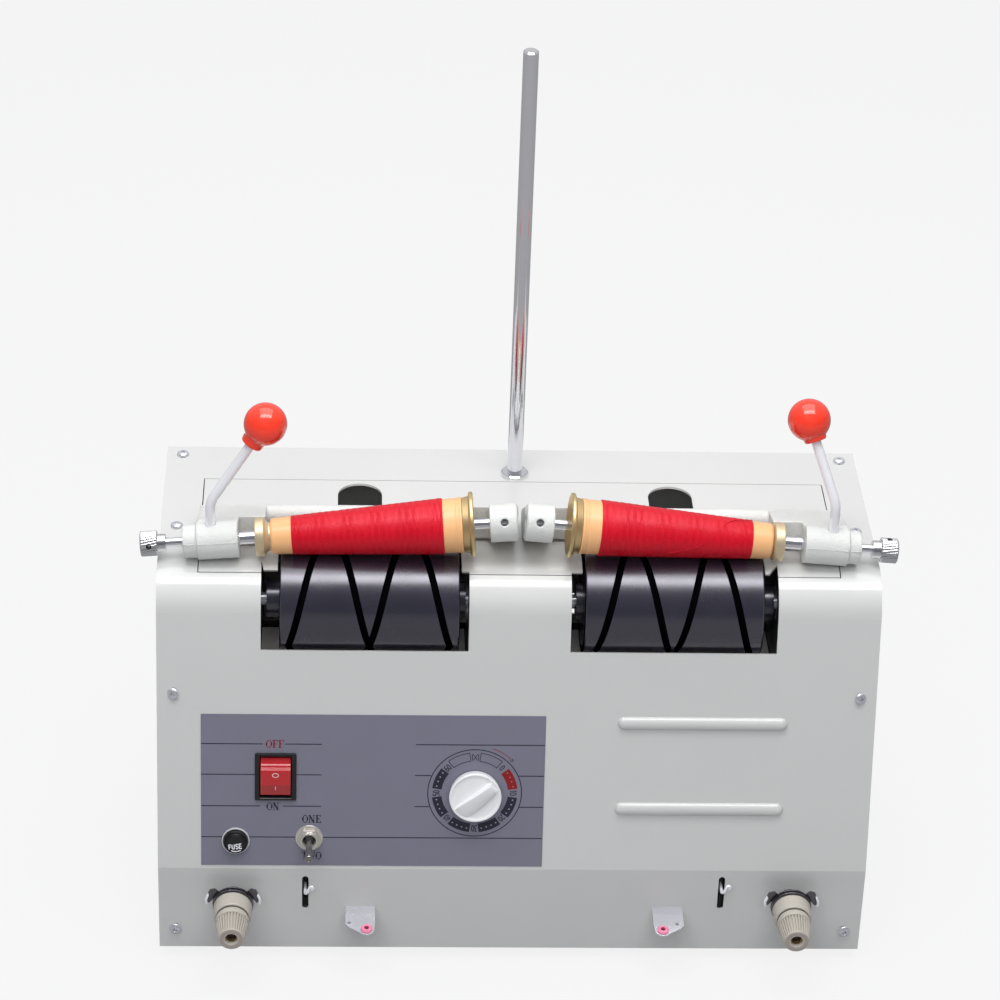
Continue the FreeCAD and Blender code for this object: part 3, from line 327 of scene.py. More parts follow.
drumFace = {
    "axis": (0, -17.98, 227.51),
    # the band of radii in which the grooves' walls and floors lie
    "grooveRadius": 30.0, "grooveReach": 2.4,
    # painted shade in the grooves: their nearly black colour
    "paintedGrooveShade": (0.002, 0.002, 0.003, 1), "gloss": 0.5,
}


def paintGrooveShade(tree):
    # painted shade: the grooves, cut below the drum's glossy skin, are coloured nearly black and lose their
    # shine
    shader = tree.nodes["Principled BSDF"]
    place = addNode(tree, "ShaderNodeTexCoord").outputs["Object"]
    axis = [c * mm for c in drumFace["axis"]]
    middle = addNode(tree, "ShaderNodeVectorMath", {0: place, 1: axis}, operation="SUBTRACT")
    flat = addNode(tree, "ShaderNodeVectorMath", {0: middle.outputs[0], 1: (0, 1, 1)}, operation="MULTIPLY")
    reach = addNode(tree, "ShaderNodeVectorMath", {0: flat.outputs[0]}, operation="LENGTH").outputs["Value"]
    groove = addMath(tree, "COMPARE", reach, drumFace["grooveRadius"] * mm, drumFace["grooveReach"] * mm)
    skinShare = addMath(tree, "SUBTRACT", 1, groove)
    plain = shader.inputs["Base Color"].links[0].from_socket
    blend = addNode(tree, "ShaderNodeMix", {"A": drumFace["paintedGrooveShade"], "B": plain, "Factor": skinShare},
                    data_type="RGBA")
    setInputs(tree, shader, {"Base Color": blend.outputs["Result"],
                             "Specular IOR Level": addMath(tree, "MULTIPLY", skinShare, drumFace["gloss"])})


paintGrooveShade(materials["drumGloss"].node_tree)
print("finishes mixed:", len(materials))

# Which finish each CAD node wears, with "left_" and "right_" taken off its name.
nodeFinish = {
    "greyPaint": ("front_cover", "top_lid", "chassis", "rear_panel"),
    "castPaint": ("cradle",),
    "blackPlastic": ("cable_gland", "rocker_frame", "fuse_holder", "fuse_cap"),
    "blackRubber": ("rubber_feet", "drive_belts"),
    "blackSteel": ("bearing_brackets", "motors"),
    "slateLabel": ("control_label",),
    "drumGloss": ("drum",),
    "chrome": ("stand_pole", "pole_nuts", "spindle", "plunger", "stop_pin"),
    "leverChrome": ("lever_rod",),
    "darkChrome": ("tension_posts",),
    "zincSteel": ("cover_screws", "drum_bearings", "pivot_shafts", "drum_shaft", "eyelet_brackets"),
    "nickel": ("toggle_body", "toggle_lever", "potentiometer"),
    "aluminium": ("drum_pulley", "motor_pulley", "plunger_knob"),
    "brass": ("small_centre", "big_centre"),
    "tanTube": ("cone_tube",),
    "redYarn": ("yarn",),
    "redBall": ("lever_ball",),
    "redRocker": ("rocker",),
    "beigePlastic": ("tension_cups", "tension_knob"),
    "whitePlastic": ("speed_knob",),
    "pinkCeramic": ("ceramic_eyelets",),
    "greenBoard": ("control_board",),
}


def dressNodes():
    finishOf = {part: finish for finish, parts in nodeFinish.items() for part in parts}
    for name, piece in frame["nodes"].items():
        part = name.removeprefix("left_").removeprefix("right_")
        piece.data.materials.clear()
        piece.data.materials.append(materials[finishOf[part]])


dressNodes()
print("nodes dressed")


def placeMesh(name, mesh, finish, body, replaces=(), sharp=40):
    mesh.name = name
    mesh.shade_smooth()
    mesh.set_sharp_from_angle(angle=radians(sharp))
    mesh.materials.clear()
    mesh.materials.append(materials[finish])
    piece = linked(name, mesh)
    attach(piece, body)
    if replaces:
        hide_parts(*replaces)
    return piece


def placeShape(name, shape, finish, body, turn=None, replaces=(), sharp=40):
    if turn is not None:
        shape.transform(turn)
    return placeMesh(name, meshOf(shape, name), finish, body, replaces, sharp)


def softened(profile, radius, steps=3):
    # rounds the corners of a profile of (station, radius) points
    points = [Vector(point) for point in profile]
    line = [points[0]]
    for before, corner, after in zip(points, points[1:], points[2:]):
        come, go = corner - before, after - corner
        cut = min(radius, come.length * 0.45, go.length * 0.45)
        start = corner - come.normalized() * cut
        end = corner + go.normalized() * cut
        for k in range(steps + 1):
            t = k / steps
            line.append(start.lerp(corner, t).lerp(corner.lerp(end, t), t))
    line.append(points[-1])
    return [tuple(point) for point in line]


def lathe(profile, segments=64, ring=False, swell=None):
    # turns (station, radius) points in mm about Z; swell(angle, station, radius) may change a radius
    shape = bmesh.new()
    uvs = shape.loops.layers.uv.new("UVMap")
    if ring:
        profile = list(profile) + [profile[0]]
    else:
        profile = [(profile[0][0], 0)] + list(profile) + [(profile[-1][0], 0)]
        profile = [p for k, p in enumerate(profile) if k == 0 or p != profile[k - 1]]
    rows, run = [], [0.0]
    for (z0, r0), (z1, r1) in zip(profile, profile[1:]):
        run.append(run[-1] + hypot(z1 - z0, r1 - r0))
    for index, (station, radius) in enumerate(profile):
        if ring and index == len(profile) - 1:
            rows.append(rows[0])
            continue
        if radius < 1e-6:
            rows.append([shape.verts.new((0, 0, station * mm))])
            continue
        row = []
        for k in range(segments):
            angle = 2 * pi * k / segments
            r = swell(angle, station, radius) if swell else radius
            row.append(shape.verts.new((r * mm * cos(angle), r * mm * sin(angle), station * mm)))
        rows.append(row)
    for index, (low, high) in enumerate(zip(rows, rows[1:])):
        for k in range(segments):
            after = (k + 1) % segments
            corners = [(low[k % len(low)], k, index)]
            if len(low) > 1:
                corners.append((low[after], k + 1, index))
            if len(high) > 1:
                corners.append((high[after], k + 1, index + 1))
            corners.append((high[k % len(high)], k, index + 1))
            if len(low) == 1 and len(high) == 1:
                continue
            face = shape.faces.new([corner[0] for corner in corners])
            for loop, corner in zip(face.loops, corners):
                loop[uvs].uv = (corner[1] / segments, run[corner[2]] / 100)
    bmesh.ops.recalc_face_normals(shape, faces=shape.faces)
    return shape


def prism(outline, low, high, bevel=0.0, steps=2):
    # an outline of (x, y) points in mm, raised from low to high along Z, with its edges eased
    shape = bmesh.new()
    floor, roof = ([shape.verts.new((x * mm, y * mm, level * mm)) for x, y in outline]
                   for level in (low, high))
    shape.faces.new(floor)
    shape.faces.new(roof)
    for k in range(len(outline)):
        after = (k + 1) % len(outline)
        shape.faces.new([floor[k], floor[after], roof[after], roof[k]])
    bmesh.ops.recalc_face_normals(shape, faces=shape.faces)
    if bevel:
        edges = [e for e in shape.edges if e.calc_face_angle(0) > radians(25)]
        bmesh.ops.bevel(shape, geom=edges, offset=bevel * mm, segments=steps, affect="EDGES", profile=0.5)
    return shape


def skin(rings, closed=False):
    # joins rings of (x, y, z) points in mm into one skin, with its ends closed
    shape = bmesh.new()
    rows = [[shape.verts.new(Vector(point) * mm) for point in ring] for ring in rings]
    run = rows + rows[:1] if closed else rows
    for one, two in zip(run, run[1:]):
        for k in range(len(one)):
            after = (k + 1) % len(one)
            shape.faces.new((one[k], one[after], two[after], two[k]))
    if not closed:
        shape.faces.new(rows[0])
        shape.faces.new(rows[-1])
    bmesh.ops.recalc_face_normals(shape, faces=shape.faces)
    return shape


def roundedBox(width, height, radius, level, steps=5):
    points = []
    for cx, cy, first in ((1, 1, 0), (-1, 1, 90), (-1, -1, 180), (1, -1, 270)):
        for k in range(steps + 1):
            turn = radians(first + 90 * k / steps)
            points.append((cx * (width / 2 - radius) + radius * cos(turn),
                           cy * (height / 2 - radius) + radius * sin(turn), level))
    return points


def merged(shapes):
    whole = bmesh.new()
    for shape in shapes:
        mesh = meshOf(shape, "part")
        whole.from_mesh(mesh)
        bpy.data.meshes.remove(mesh)
    return whole


def newTree(name, sockets):
    tree = bpy.data.node_groups.new(name, "GeometryNodeTree")
    tree.interface.new_socket("Geometry", in_out="INPUT", socket_type="NodeSocketGeometry")
    for label, kind, value in (*sockets, ("Material", "Material", None)):
        socket = tree.interface.new_socket(label, in_out="INPUT", socket_type="NodeSocket" + kind)
        if value is not None:
            socket.default_value = value
    tree.interface.new_socket("Geometry", in_out="OUTPUT", socket_type="NodeSocketGeometry")
    return tree, addNode(tree, "NodeGroupInput").outputs


def endTree(tree, give, made):
    # turns copies into a plain mesh and gives it its finish
    whole = addNode(tree, "GeometryNodeRealizeInstances", {"Geometry": made.outputs[0]})
    painted = addNode(tree, "GeometryNodeSetMaterial",
                      {"Geometry": whole.outputs[0], "Material": give["Material"]})
    addNode(tree, "NodeGroupOutput", {0: painted.outputs[0]})
    return tree


def grow(tree, values, mesh=None):
    # runs a tree on a mesh and gives back the plain mesh it makes
    seed = linked("seed", mesh or bpy.data.meshes.new("seed"))
    modifier = modify(seed, "NODES", node_group=tree)
    for item in tree.interface.items_tree:
        if item.in_out == "INPUT" and item.name in values:
            modifier[item.identifier] = values[item.name]
    result = baked(seed)
    bpy.data.objects.remove(seed)
    return result


heads = {"left": -1, "right": 1}

spindleLine = {"x": 93.0, "y": -17.98, "z": 276.4, "tilt": 4.6}

coneShape = {
    "tube": ((35.5, 16.9), (152.5, 10.9)), "wall": 2.0,
    "yarn": ((47.0, 17.1), (140.0, 11.75)), "yarnInside": (15.9, 11.1),
    "short": {"left": 1.2, "right": 0.0},   # the left tube and package end a little sooner
}

winding = {
    "threadRadius": 0.13, "passes": 26, "turnsPerPass": 5.37, "stepsPerTurn": 36, "lift": 0.02, "seed": 3,
    "wander": 9.0,                # how often the turning points wander in and out, per pass
    "short": 0.012,               # how far short of the ends they may be, as a share of the package
}


def spindleTurn(side):
    tilt = radians(spindleLine["tilt"])
    outward = Vector((side * cos(tilt), 0, -sin(tilt)))
    front = Vector((0, -1, 0))
    middle = Vector((side * spindleLine["x"], spindleLine["y"], spindleLine["z"]))
    return standing(middle - outward * spindleLine["x"], front, outward.cross(front), outward)


def threadTree():
    tree, give = newTree("threadWinding", (
        ("Start Station", "Float", 0.047), ("End Station", "Float", 0.14), ("Start Radius", "Float", 0.0171),
        ("End Radius", "Float", 0.01175), ("Passes", "Int", 20), ("Turns Per Pass", "Float", 5.0),
        ("Steps Per Turn", "Int", 36), ("Thread Radius", "Float", 0.00013), ("Seed", "Int", 3)))
    turns = addMath(tree, "MULTIPLY", give["Passes"], give["Turns Per Pass"])
    count = addMath(tree, "MULTIPLY", turns, give["Steps Per Turn"])
    line = addNode(tree, "GeometryNodeMeshLine", {"Count": count})
    share = addMath(tree, "DIVIDE", addNode(tree, "GeometryNodeInputIndex").outputs[0], count)
    travel = addMath(tree, "MULTIPLY", share, give["Passes"])
    swing = addMath(tree, "PINGPONG", travel, 1.0)
    wander = addNode(tree, "ShaderNodeTexNoise", {
        "Scale": winding["wander"], "W": addMath(tree, "ADD", travel, give["Seed"])}, noise_dimensions="1D")

    def spread(value, low, high, fromLow=0.0, fromHigh=1.0):
        return addNode(tree, "ShaderNodeMapRange", {
            "Value": value, "From Min": fromLow, "From Max": fromHigh,
            "To Min": low, "To Max": high}).outputs[0]

    # the thread turns back a little short of the package's ends, never at quite the same place
    reach = addMath(tree, "MULTIPLY", spread(wander.outputs[0], 0.004, 0.996, 0.3, 0.7), winding["short"])
    across = spread(swing, reach, addMath(tree, "SUBTRACT", 1.0, reach))
    station = spread(across, give["Start Station"], give["End Station"])
    radius = spread(across, give["Start Radius"], give["End Radius"])
    angle = addMath(tree, "MULTIPLY", addMath(tree, "MULTIPLY", share, turns), 2 * pi)
    x, y = (addMath(tree, "MULTIPLY", radius, addMath(tree, wave, angle)) for wave in ("COSINE", "SINE"))
    point = addNode(tree, "ShaderNodeCombineXYZ", {"X": x, "Y": y, "Z": station})
    wound = addNode(tree, "GeometryNodeSetPosition",
                    {"Geometry": line.outputs[0], "Position": point.outputs[0]})
    path = addNode(tree, "GeometryNodeMeshToCurve", {"Mesh": wound.outputs[0]})
    section = addNode(tree, "GeometryNodeCurvePrimitiveCircle",
                      {"Resolution": 5, "Radius": give["Thread Radius"]})
    thread = addNode(tree, "GeometryNodeCurveToMesh",
                     {"Curve": path.outputs[0], "Profile Curve": section.outputs[0]})
    return endTree(tree, give, thread)


def windYarn(name, side, tree):
    (start, wide), (finish, narrow) = coneShape["yarn"]
    finish -= coneShape["short"][name]
    insideWide, insideNarrow = coneShape["yarnInside"]
    outline = [(start, insideWide), (start, wide), (finish, narrow), (finish, insideNarrow)]
    base = lathe(softened(outline, 0.45, 4), 96, ring=True)
    placeShape(name + "_wound_yarn", base, "redYarn", name + "_cone", spindleTurn(side), (name + "_yarn",))
    threads = grow(tree, {
        "Start Station": start * mm, "End Station": finish * mm,
        "Start Radius": (wide + winding["lift"]) * mm, "End Radius": (narrow + winding["lift"]) * mm,
        "Passes": winding["passes"], "Turns Per Pass": winding["turnsPerPass"],
        "Steps Per Turn": winding["stepsPerTurn"], "Thread Radius": winding["threadRadius"] * mm,
        "Seed": winding["seed"] + side, "Material": materials["redYarn"]})
    threads.transform(spindleTurn(side))
    placeMesh(name + "_yarn_threads", threads, "redYarn", name + "_cone")


brassShape = {
    # the flanged centre that the wide end of the tube sits on, and the sprung one at the narrow end
    "big": [(31.0, 3.25), (31.0, 12.6), (29.2, 16.6), (28.3, 18.4), (28.8, 19.85), (30.6, 19.85),
            (31.2, 19.0), (31.4, 17.4), (35.4, 16.6), (35.5, 14.9), (48.0, 14.2), (53.7, 8.0), (53.7, 3.25)],
    "small": [(146.0, 4.05), (146.0, 7.2), (147.5, 8.2), (152.6, 8.5)],
    "smallFlange": {"left": (155.6, 160.8, 10.2), "right": (154.2, 159.8, 9.2)},
    "ease": 0.35,
}


def smallCentre(name):
    # the nose inside the tube, the neck and the flange
    low, high, neck = brassShape["smallFlange"][name]
    flange = [(low - 1.1, neck), (low - 0.4, 11.6), (low, 11.9), (high - 0.4, 11.9), (high, 11.5),
              (high, 4.05)]
    return brassShape["small"] + flange


def turnBrass(name, side):
    for size, body, outline in (("big", "_cone", brassShape["big"]),
                                ("small", "_small_centre", smallCentre(name))):
        shape = lathe(softened(outline, brassShape["ease"]), 96, ring=True)
        finish = "goldBrass" if size == "big" else "brass"
        placeShape(f"{name}_{size}_brass", shape, finish, name + body, spindleTurn(side),
                   (f"{name}_{size}_centre",))


def turnTube(name, side):
    (start, wide), (finish, narrow) = coneShape["tube"]
    finish -= coneShape["short"][name]
    wall = coneShape["wall"]
    slope = (narrow - wide) / (finish - start)
    outline = [(start, wide - wall), (start, wide + 0.15), (start + 1.4, wide + 0.15)]
    for along, dip in ((1.9, 0), (3.4, 0), (3.7, 0.22), (4.3, 0.22), (4.6, 0)):   # the rings at the wide end
        outline.append((start + along, wide + slope * along - dip))
    outline += [(finish - 1.2, narrow + 0.06), (finish, narrow - 0.7), (finish, narrow - wall)]
    shape = lathe(softened(outline, 0.3), 96, ring=True)
    placeShape(name + "_wound_tube", shape, "tanTube", name + "_cone", spindleTurn(side),
               (name + "_cone_tube",))


knurl = {"flutes": 26, "twist": 3.0, "depth": 0.40, "from": 220.4, "to": 229.9, "radius": 7.65, "steps": 14}


def flutedRadius(angle, station, radius):
    if not knurl["from"] <= station <= knurl["to"] or radius < 5:
        return radius
    turn = angle + radians(knurl["twist"]) * (station - knurl["from"]) * 0.45
    return radius - knurl["depth"] * (0.5 + 0.5 * cos(knurl["flutes"] * turn)) ** 3


def turnKnob(name, side):
    outline = [(215.0, 2.85), (215.0, 5.2), (215.4, 5.5), (219.6, 5.5), (219.9, 5.7), (220.0, 7.1)]
    steps = knurl["steps"]
    outline += [(knurl["from"] + (knurl["to"] - knurl["from"]) * k / steps, knurl["radius"])
                for k in range(steps + 1)]
    outline += [(230.3, 7.2), (230.4, 6.6), (230.4, 3.2), (229.9, 2.9)]
    shape = lathe(outline, 200, swell=flutedRadius)
    knob = placeShape(name + "_fluted_knob", shape, "aluminium", name + "_plunger", spindleTurn(side),
                      (name + "_plunger_knob",), 50)
    drillKnob(knob, side)


# degrees round the spindle from the front
knobHole = {"station": 225.0, "reach": 6.2, "turn": {-1: 15, 1: -98}}


def drillKnob(knob, side):
    # the set screw's hole, with a dark screw down in it
    turn = spindleTurn(side)
    angle = radians(knobHole["turn"][side])
    outward = turn.to_3x3() @ Vector((cos(angle), sin(angle), 0))
    place = turn @ Vector((0, 0, knobHole["station"] * mm)) + outward * knobHole["reach"] * mm
    hole = lathe([(-1.2, 1.7), (2.2, 1.7)], 24)
    hole.transform(facing(place, outward))
    cutBy(knob, hole)
    screw = lathe(softened([(-1.6, 1.65), (-0.7, 1.65), (-0.5, 1.0), (-1.4, 0.8)], 0.1), 24)
    placeShape(knob.name + "_set_screw", screw, "blackSteel", knob["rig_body"], facing(place, outward))


casting = {"voxel": 0.62, "smooth": 3, "lump": 0.22, "lumpSize": 2.6}


def castCradle(name):
    # the casting's sharp solid is remeshed so that its corners round off, then given the sand's texture
    shape = bmesh.new()
    shape.from_mesh(frame["nodes"][name + "_cradle"].data)
    bmesh.ops.remove_doubles(shape, verts=shape.verts, dist=0.01 * mm)
    work = linked("casting", meshOf(shape, "casting"))
    sand = bpy.data.textures.new("sand", "CLOUDS")
    sand.noise_scale = casting["lumpSize"] * mm
    modify(work, "REMESH", mode="VOXEL", voxel_size=casting["voxel"] * mm)
    modify(work, "SMOOTH", factor=0.5, iterations=casting["smooth"])
    modify(work, "DISPLACE", texture=sand, strength=casting["lump"] * mm, mid_level=0.5)
    result = baked(work)
    bpy.data.objects.remove(work)
    placeMesh(name + "_cast_cradle", result, "castPaint", name + "_cradle", (name + "_cradle",), 180)


partingLine = {
    "rise": 18.0, "wander": 1.4, "height": 0.55, "halfWidth": 0.55, "seed": 11, "pitch": 0.8, "inset": 0.6,
    "sleeves": {"left": ((170.8, 195.6, 11.6), (195.6, 204.6, 10.2)),
                "right": ((172.4, 199.2, 11.6), (199.2, 207.2, 10.2))},
    "stepRidge": ((-0.9, 11.2), (-0.5, 11.95), (0.1, 11.85), (0.4, 11.0)),
}


def raisePartingLine(name, side):
    # the flash left along the mould's seam, and a thin ridge round the sleeve's step
    draw = random.Random(partingLine["seed"] + side)
    ridges = []
    height, half, inset = (partingLine[k] for k in ("height", "halfWidth", "inset"))
    for start, end, radius in partingLine["sleeves"][name]:
        rings = []
        steps = int((end - start) / partingLine["pitch"])
        spread = asin(half / radius)
        for k in range(steps + 1):
            station = start + inset + (end - start - 2 * inset) * k / steps
            turn = radians(-side * (partingLine["rise"] + draw.uniform(-1, 1) * partingLine["wander"]))
            top = radius + height * draw.uniform(0.5, 1.0)
            points = ((turn - spread, radius - 0.4), (turn, top), (turn + spread, radius - 0.4))
            rings.append([(r * cos(a), r * sin(a), station) for a, r in points])
        ridges.append(skin(rings))
    step = partingLine["sleeves"][name][0][1]
    ridges.append(lathe([(step + along, radius) for along, radius in partingLine["stepRidge"]], 72,
                        ring=True))
    placeShape(name + "_casting_ridges", merged(ridges), "castPaint", name + "_cradle", spindleTurn(side),
               (), 180)


leverShape = {
    "left": {"station": 188.0, "bendHeight": 295.6, "ball": (-154.6, -12.1, 346.3), "collarShift": 0.0},
    "right": {"station": 190.3, "bendHeight": 298.0, "ball": (172.8, 5.5, 343.3), "collarShift": 2.4},
}

ballShape = {
    "radius": 13.0, "neck": 7.1, "steps": 40,
    "collar": ((-13.0, 3.05), (-13.0, 4.4), (-15.6, 4.9), (-16.0, 5.6), (-15.6, 6.6), (-14.2, 7.0)),
}


def turnBall(name, side):
    middle = spindleTurn(side) @ Vector((0, 0, leverShape[name]["station"] * mm))
    corner = Vector((middle.x, middle.y, leverShape[name]["bendHeight"] * mm))
    ball = Vector(leverShape[name]["ball"]) * mm
    shift, radius, neck = leverShape[name]["collarShift"], ballShape["radius"], ballShape["neck"]
    collar = [(along + shift, reach) for along, reach in ballShape["collar"]]
    outline = softened(collar + [(-11.2, neck)], 0.5)
    first, steps = asin(neck / radius), ballShape["steps"]
    for k in range(1, steps):
        turn = first + (pi - first) * k / steps
        outline.append((-radius * cos(turn), radius * sin(turn)))
    shape = lathe(outline + [(radius, 0.0)], 72)
    placeShape(name + "_ball_handle", shape, "redBall", name + "_cradle", facing(ball, ball - corner),
               (name + "_lever_ball",), 60)


threads = threadTree()
for head, side in heads.items():
    windYarn(head, side, threads)
    turnTube(head, side)
    turnBrass(head, side)
    turnKnob(head, side)
    castCradle(head)
    raisePartingLine(head, side)
    turnBall(head, side)
print("winding heads made")


# the sloping panel and the strip below it
frontPlanes = {"front": -80.3, "fold": 69.0, "lean": 12.0, "top": 255.5, "back": 117.7}


def panelPlace(x, t, out=0.0, tip=0.0):
    # local X runs right, Y up the panel and Z out of it; tip leans the top edge out
    lean = radians(frontPlanes["lean"])
    up = Vector((0, sin(lean), cos(lean)))
    ahead = Vector((0, -cos(lean), sin(lean)))
    start = Vector((x, frontPlanes["front"], frontPlanes["fold"])) + up * t + ahead * out
    return standing(start, Vector((1, 0, 0)), up, ahead) @ Matrix.Rotation(radians(tip), 4, "X")


def sidePlace(x, t):
    # local X runs up the panel, Y out of it and Z right
    return panelPlace(x, t) @ Matrix(((0, 0, 1, 0), (1, 0, 0, 0), (0, 1, 0, 0), (0, 0, 0, 1)))


def stripPlace(x, z):
    # local X runs right, Y up and Z straight out of the strip
    return standing((x, frontPlanes["front"], z), (1, 0, 0), (0, 0, 1), (0, -1, 0))


def ribbon(shape, points, width, low, high, closed=False):
    # a flat stroke along (x, y) points in mm, with mitred corners
    points = [Vector(point) for point in points]
    count = len(points)
    rings = []
    for k, here in enumerate(points):
        before = points[k - 1] if closed or k else None
        after = points[(k + 1) % count] if closed or k < count - 1 else None
        come = (here - before).normalized() if before is not None else (after - here).normalized()
        go = (after - here).normalized() if after is not None else come
        across = Vector((-come.y - go.y, come.x + go.x)).normalized()
        reach = across * width / 2 / max(0.4, across.dot(Vector((-go.y, go.x))))
        corners = ((here + reach, low), (here - reach, low), (here - reach, high), (here + reach, high))
        rings.append([shape.verts.new((p.x * mm, p.y * mm, z * mm)) for p, z in corners])
    for k in range(count if closed else count - 1):
        one, two = rings[k], rings[(k + 1) % count]
        for c in range(4):
            shape.faces.new((one[c], one[(c + 1) % 4], two[(c + 1) % 4], two[c]))
    if not closed:
        shape.faces.new(rings[0])
        shape.faces.new(rings[-1])


def arcLine(x, y, radius, start, end, steps=24):
    turns = [radians(start + (end - start) * k / steps) for k in range(steps + 1)]
    return [(x + radius * cos(turn), y + radius * sin(turn)) for turn in turns]


def ovalLine(x, y, wide, tall, steps=20):
    turns = [2 * pi * k / steps for k in range(steps)]
    return [(x + wide * cos(turn), y + tall * sin(turn)) for turn in turns]


# Letters are strokes in a box one high. Each has its width, its ring if it has one (centre, reaches, weight,
# steps) and its strokes: a weight, then points in hundredths of the height. The serif ones have thick and
# thin strokes.
serifLetters = {
    "O": (0.8, (0.38, 0.5, 0.3, 0.46, 0.55, 20), "1.1 10,30 7,50 10,70 / 1.1 66,30 69,50 66,70"),
    "F": (0.74, None,
          "1.1 20,0 20,100 / 0.5 3,96 64,96 64,74 / 0.5 20,52 46,52 / 0.45 46,64 46,40 / 0.5 3,4 40,4"),
    "N": (0.9, None,
          "0.5 16,0 16,100 / 1.2 14,98 68,2 / 0.5 68,0 68,100 / 0.5 2,96 22,96 / 0.5 3,4 29,4 / "
          "0.5 55,96 81,96"),
    "E": (0.78, None,
          "1.1 20,0 20,100 / 0.5 3,96 63,96 63,76 / 0.5 20,52 46,52 / 0.45 46,64 46,40 / "
          "0.5 3,4 67,4 67,27"),
    "T": (0.78, None, "1.1 37,0 37,100 / 0.5 4,74 4,96 70,96 70,74 / 0.5 20,4 54,4"),
    "W": (1.05, None,
          "1.1 10,97 31,3 / 0.5 31,3 50,92 / 1.1 47,97 70,3 / 0.5 70,3 90,95 / 0.5 0,96 24,96 / "
          "0.5 78,96 100,96"),
}

plainLetters = {
    "0": (0.74, (0.3, 0.5, 0.25, 0.48, 1, 14), ""),
    "1": (0.5, None, "1 8,78 28,100 28,0"),
    "2": (0.72, None, "1 5,76 15,94 30,100 48,93 55,74 45,50 6,0 58,0"),
    "3": (0.72, None, "1 6,100 54,100 28,60 48,52 56,30 45,6 25,0 4,10"),
    "4": (0.74, None, "1 44,0 44,100 3,30 60,30"),
    "5": (0.72, None, "1 54,100 12,100 8,56 30,62 50,52 57,30 47,7 27,0 4,8"),
    "6": (0.72, None, "1 50,93 30,100 12,80 5,40 12,10 30,0 50,10 56,30 48,50 30,58 10,45"),
    "F": (0.68, None, "1 8,0 8,100 55,100 / 1 8,52 46,52"),
    "U": (0.78, None, "1 6,100 6,25 15,4 30,0 45,4 54,25 54,100"),
    "S": (0.72, None, "1 54,84 40,100 16,97 6,78 16,58 44,45 55,25 44,4 20,0 4,15"),
    "E": (0.68, None, "1 58,0 8,0 8,100 56,100 / 1 8,52 50,52"),
}


def writeWord(shape, text, letters, centre, width, height, weight, low, high, turn=0.0):
    stretch = width / sum(letters[letter][0] for letter in text)
    cosine, sine = cos(radians(turn)), sin(radians(turn))
    across = -width / 2

    def draw(points, share, closed):
        line = []
        for u, v in points:
            x, y = across + u * stretch, (v - 0.5) * height
            line.append((centre[0] + x * cosine - y * sine, centre[1] + x * sine + y * cosine))
        ribbon(shape, line, weight * share, low, high, closed)

    for letter in text:
        advance, ring, strokes = letters[letter]
        if ring:
            x, y, wide, tall, share, steps = ring
            draw(ovalLine(x, y, wide, tall, steps), share, True)
        for stroke in strokes.split(" / ") if strokes else ():
            share, *points = stroke.split()
            draw([[int(c) / 100 for c in point.split(",")] for point in points], float(share), False)
        across += advance * stretch


def placeInk(name, shape, finish, body, turn, replaces=()):
    bmesh.ops.recalc_face_normals(shape, faces=shape.faces)
    return placeShape(name, shape, finish, body, turn, replaces)


# lines on the label, as the height up the panel and the ends across it
labelPrint = {
    "rules": ((83.5, -193.3, -155.4), (83.5, -142.0, -119.4), (63.2, -193.3, -160.3), (63.2, -135.2, -119.3),
              (42.2, -193.3, -157.2), (42.2, -143.1, -119.7), (21.4, -193.3, 17.1), (83.7, -61.9, 17.2),
              (63.2, -62.2, -52.4), (63.2, 1.6, 17.1), (42.4, -62.2, -53.0), (42.4, 2.2, 17.1)),
    "ruleWidth": 0.62,
    "words": (("ON", (-149.1, 42.0), 8.0), ("ONE", (-125.2, 33.7), 11.9), ("TWO", (-125.2, 9.0), 12.4)),
    "redWord": ("OFF", (-148.0, 83.5), 11.2),
    "letterHeight": 5.2, "letterWeight": 0.85,
    "low": 0.35, "high": 0.43,
}


def printLabel():
    low, high = labelPrint["low"], labelPrint["high"]
    ink, red = bmesh.new(), bmesh.new()
    for t, start, end in labelPrint["rules"]:
        ribbon(ink, ((start, t), (end, t)), labelPrint["ruleWidth"], low, high)
    tall, weight = labelPrint["letterHeight"], labelPrint["letterWeight"]
    for text, centre, width in labelPrint["words"]:
        writeWord(ink, text, serifLetters, centre, width, tall, weight, low, high)
    text, centre, width = labelPrint["redWord"]
    writeWord(red, text, serifLetters, centre, width, tall, weight, low, high)
    placeInk("label_rules_and_words", ink, "navyInk", "housing", panelPlace(0, 0))
    placeInk("label_red_word", red, "redInk", "housing", panelPlace(0, 0))


dialPrint = {
    "centre": (-25.25, 51.7), "ring": 28.9, "ringWidth": 0.62, "inner": 20.5, "outer": 26.4, "line": 0.46,
    # degrees; the first block is the red one
    "blocks": 6, "redBlock": 22.5, "blockStep": 45, "blockSpan": 32.0,
    "numbers": (("0", 45), ("10", 0), ("20", -45), ("30", -90), ("40", -135), ("50", 180), ("60", 135)),
    "numberRadius": 23.7, "numberHeight": 3.9, "numberWeight": 0.55, "numberWidths": (2.2, 4.0),
    "boxInner": 21.4, "boxOuter": 26.8, "boxes": ((97.5, 128.0), (52.0, 82.5)),
    "dotRadius": 0.42, "dots": 4, "dotReach": 23.9, "dotPitch": 0.48,
    "crossing": (((-1.9, 21.6), (-1.9, 26.0)), ((1.9, 21.6), (1.9, 26.0)),   # the mark between the two boxes
                 ((-1.3, 21.8), (1.3, 25.8)), ((-1.3, 25.8), (1.3, 21.8))),
    "arrow": (31.5, 70.4, 45.5), "arrowHead": (1.6, 1.0, 0.5),
}


def dialSector(shape, start, end, low, high):
    # a block of the scale between its two radii
    middle = (dialPrint["inner"] + dialPrint["outer"]) / 2
    line = arcLine(0, 0, middle, start, end, 12)
    ribbon(shape, line, dialPrint["outer"] - dialPrint["inner"], low, high)


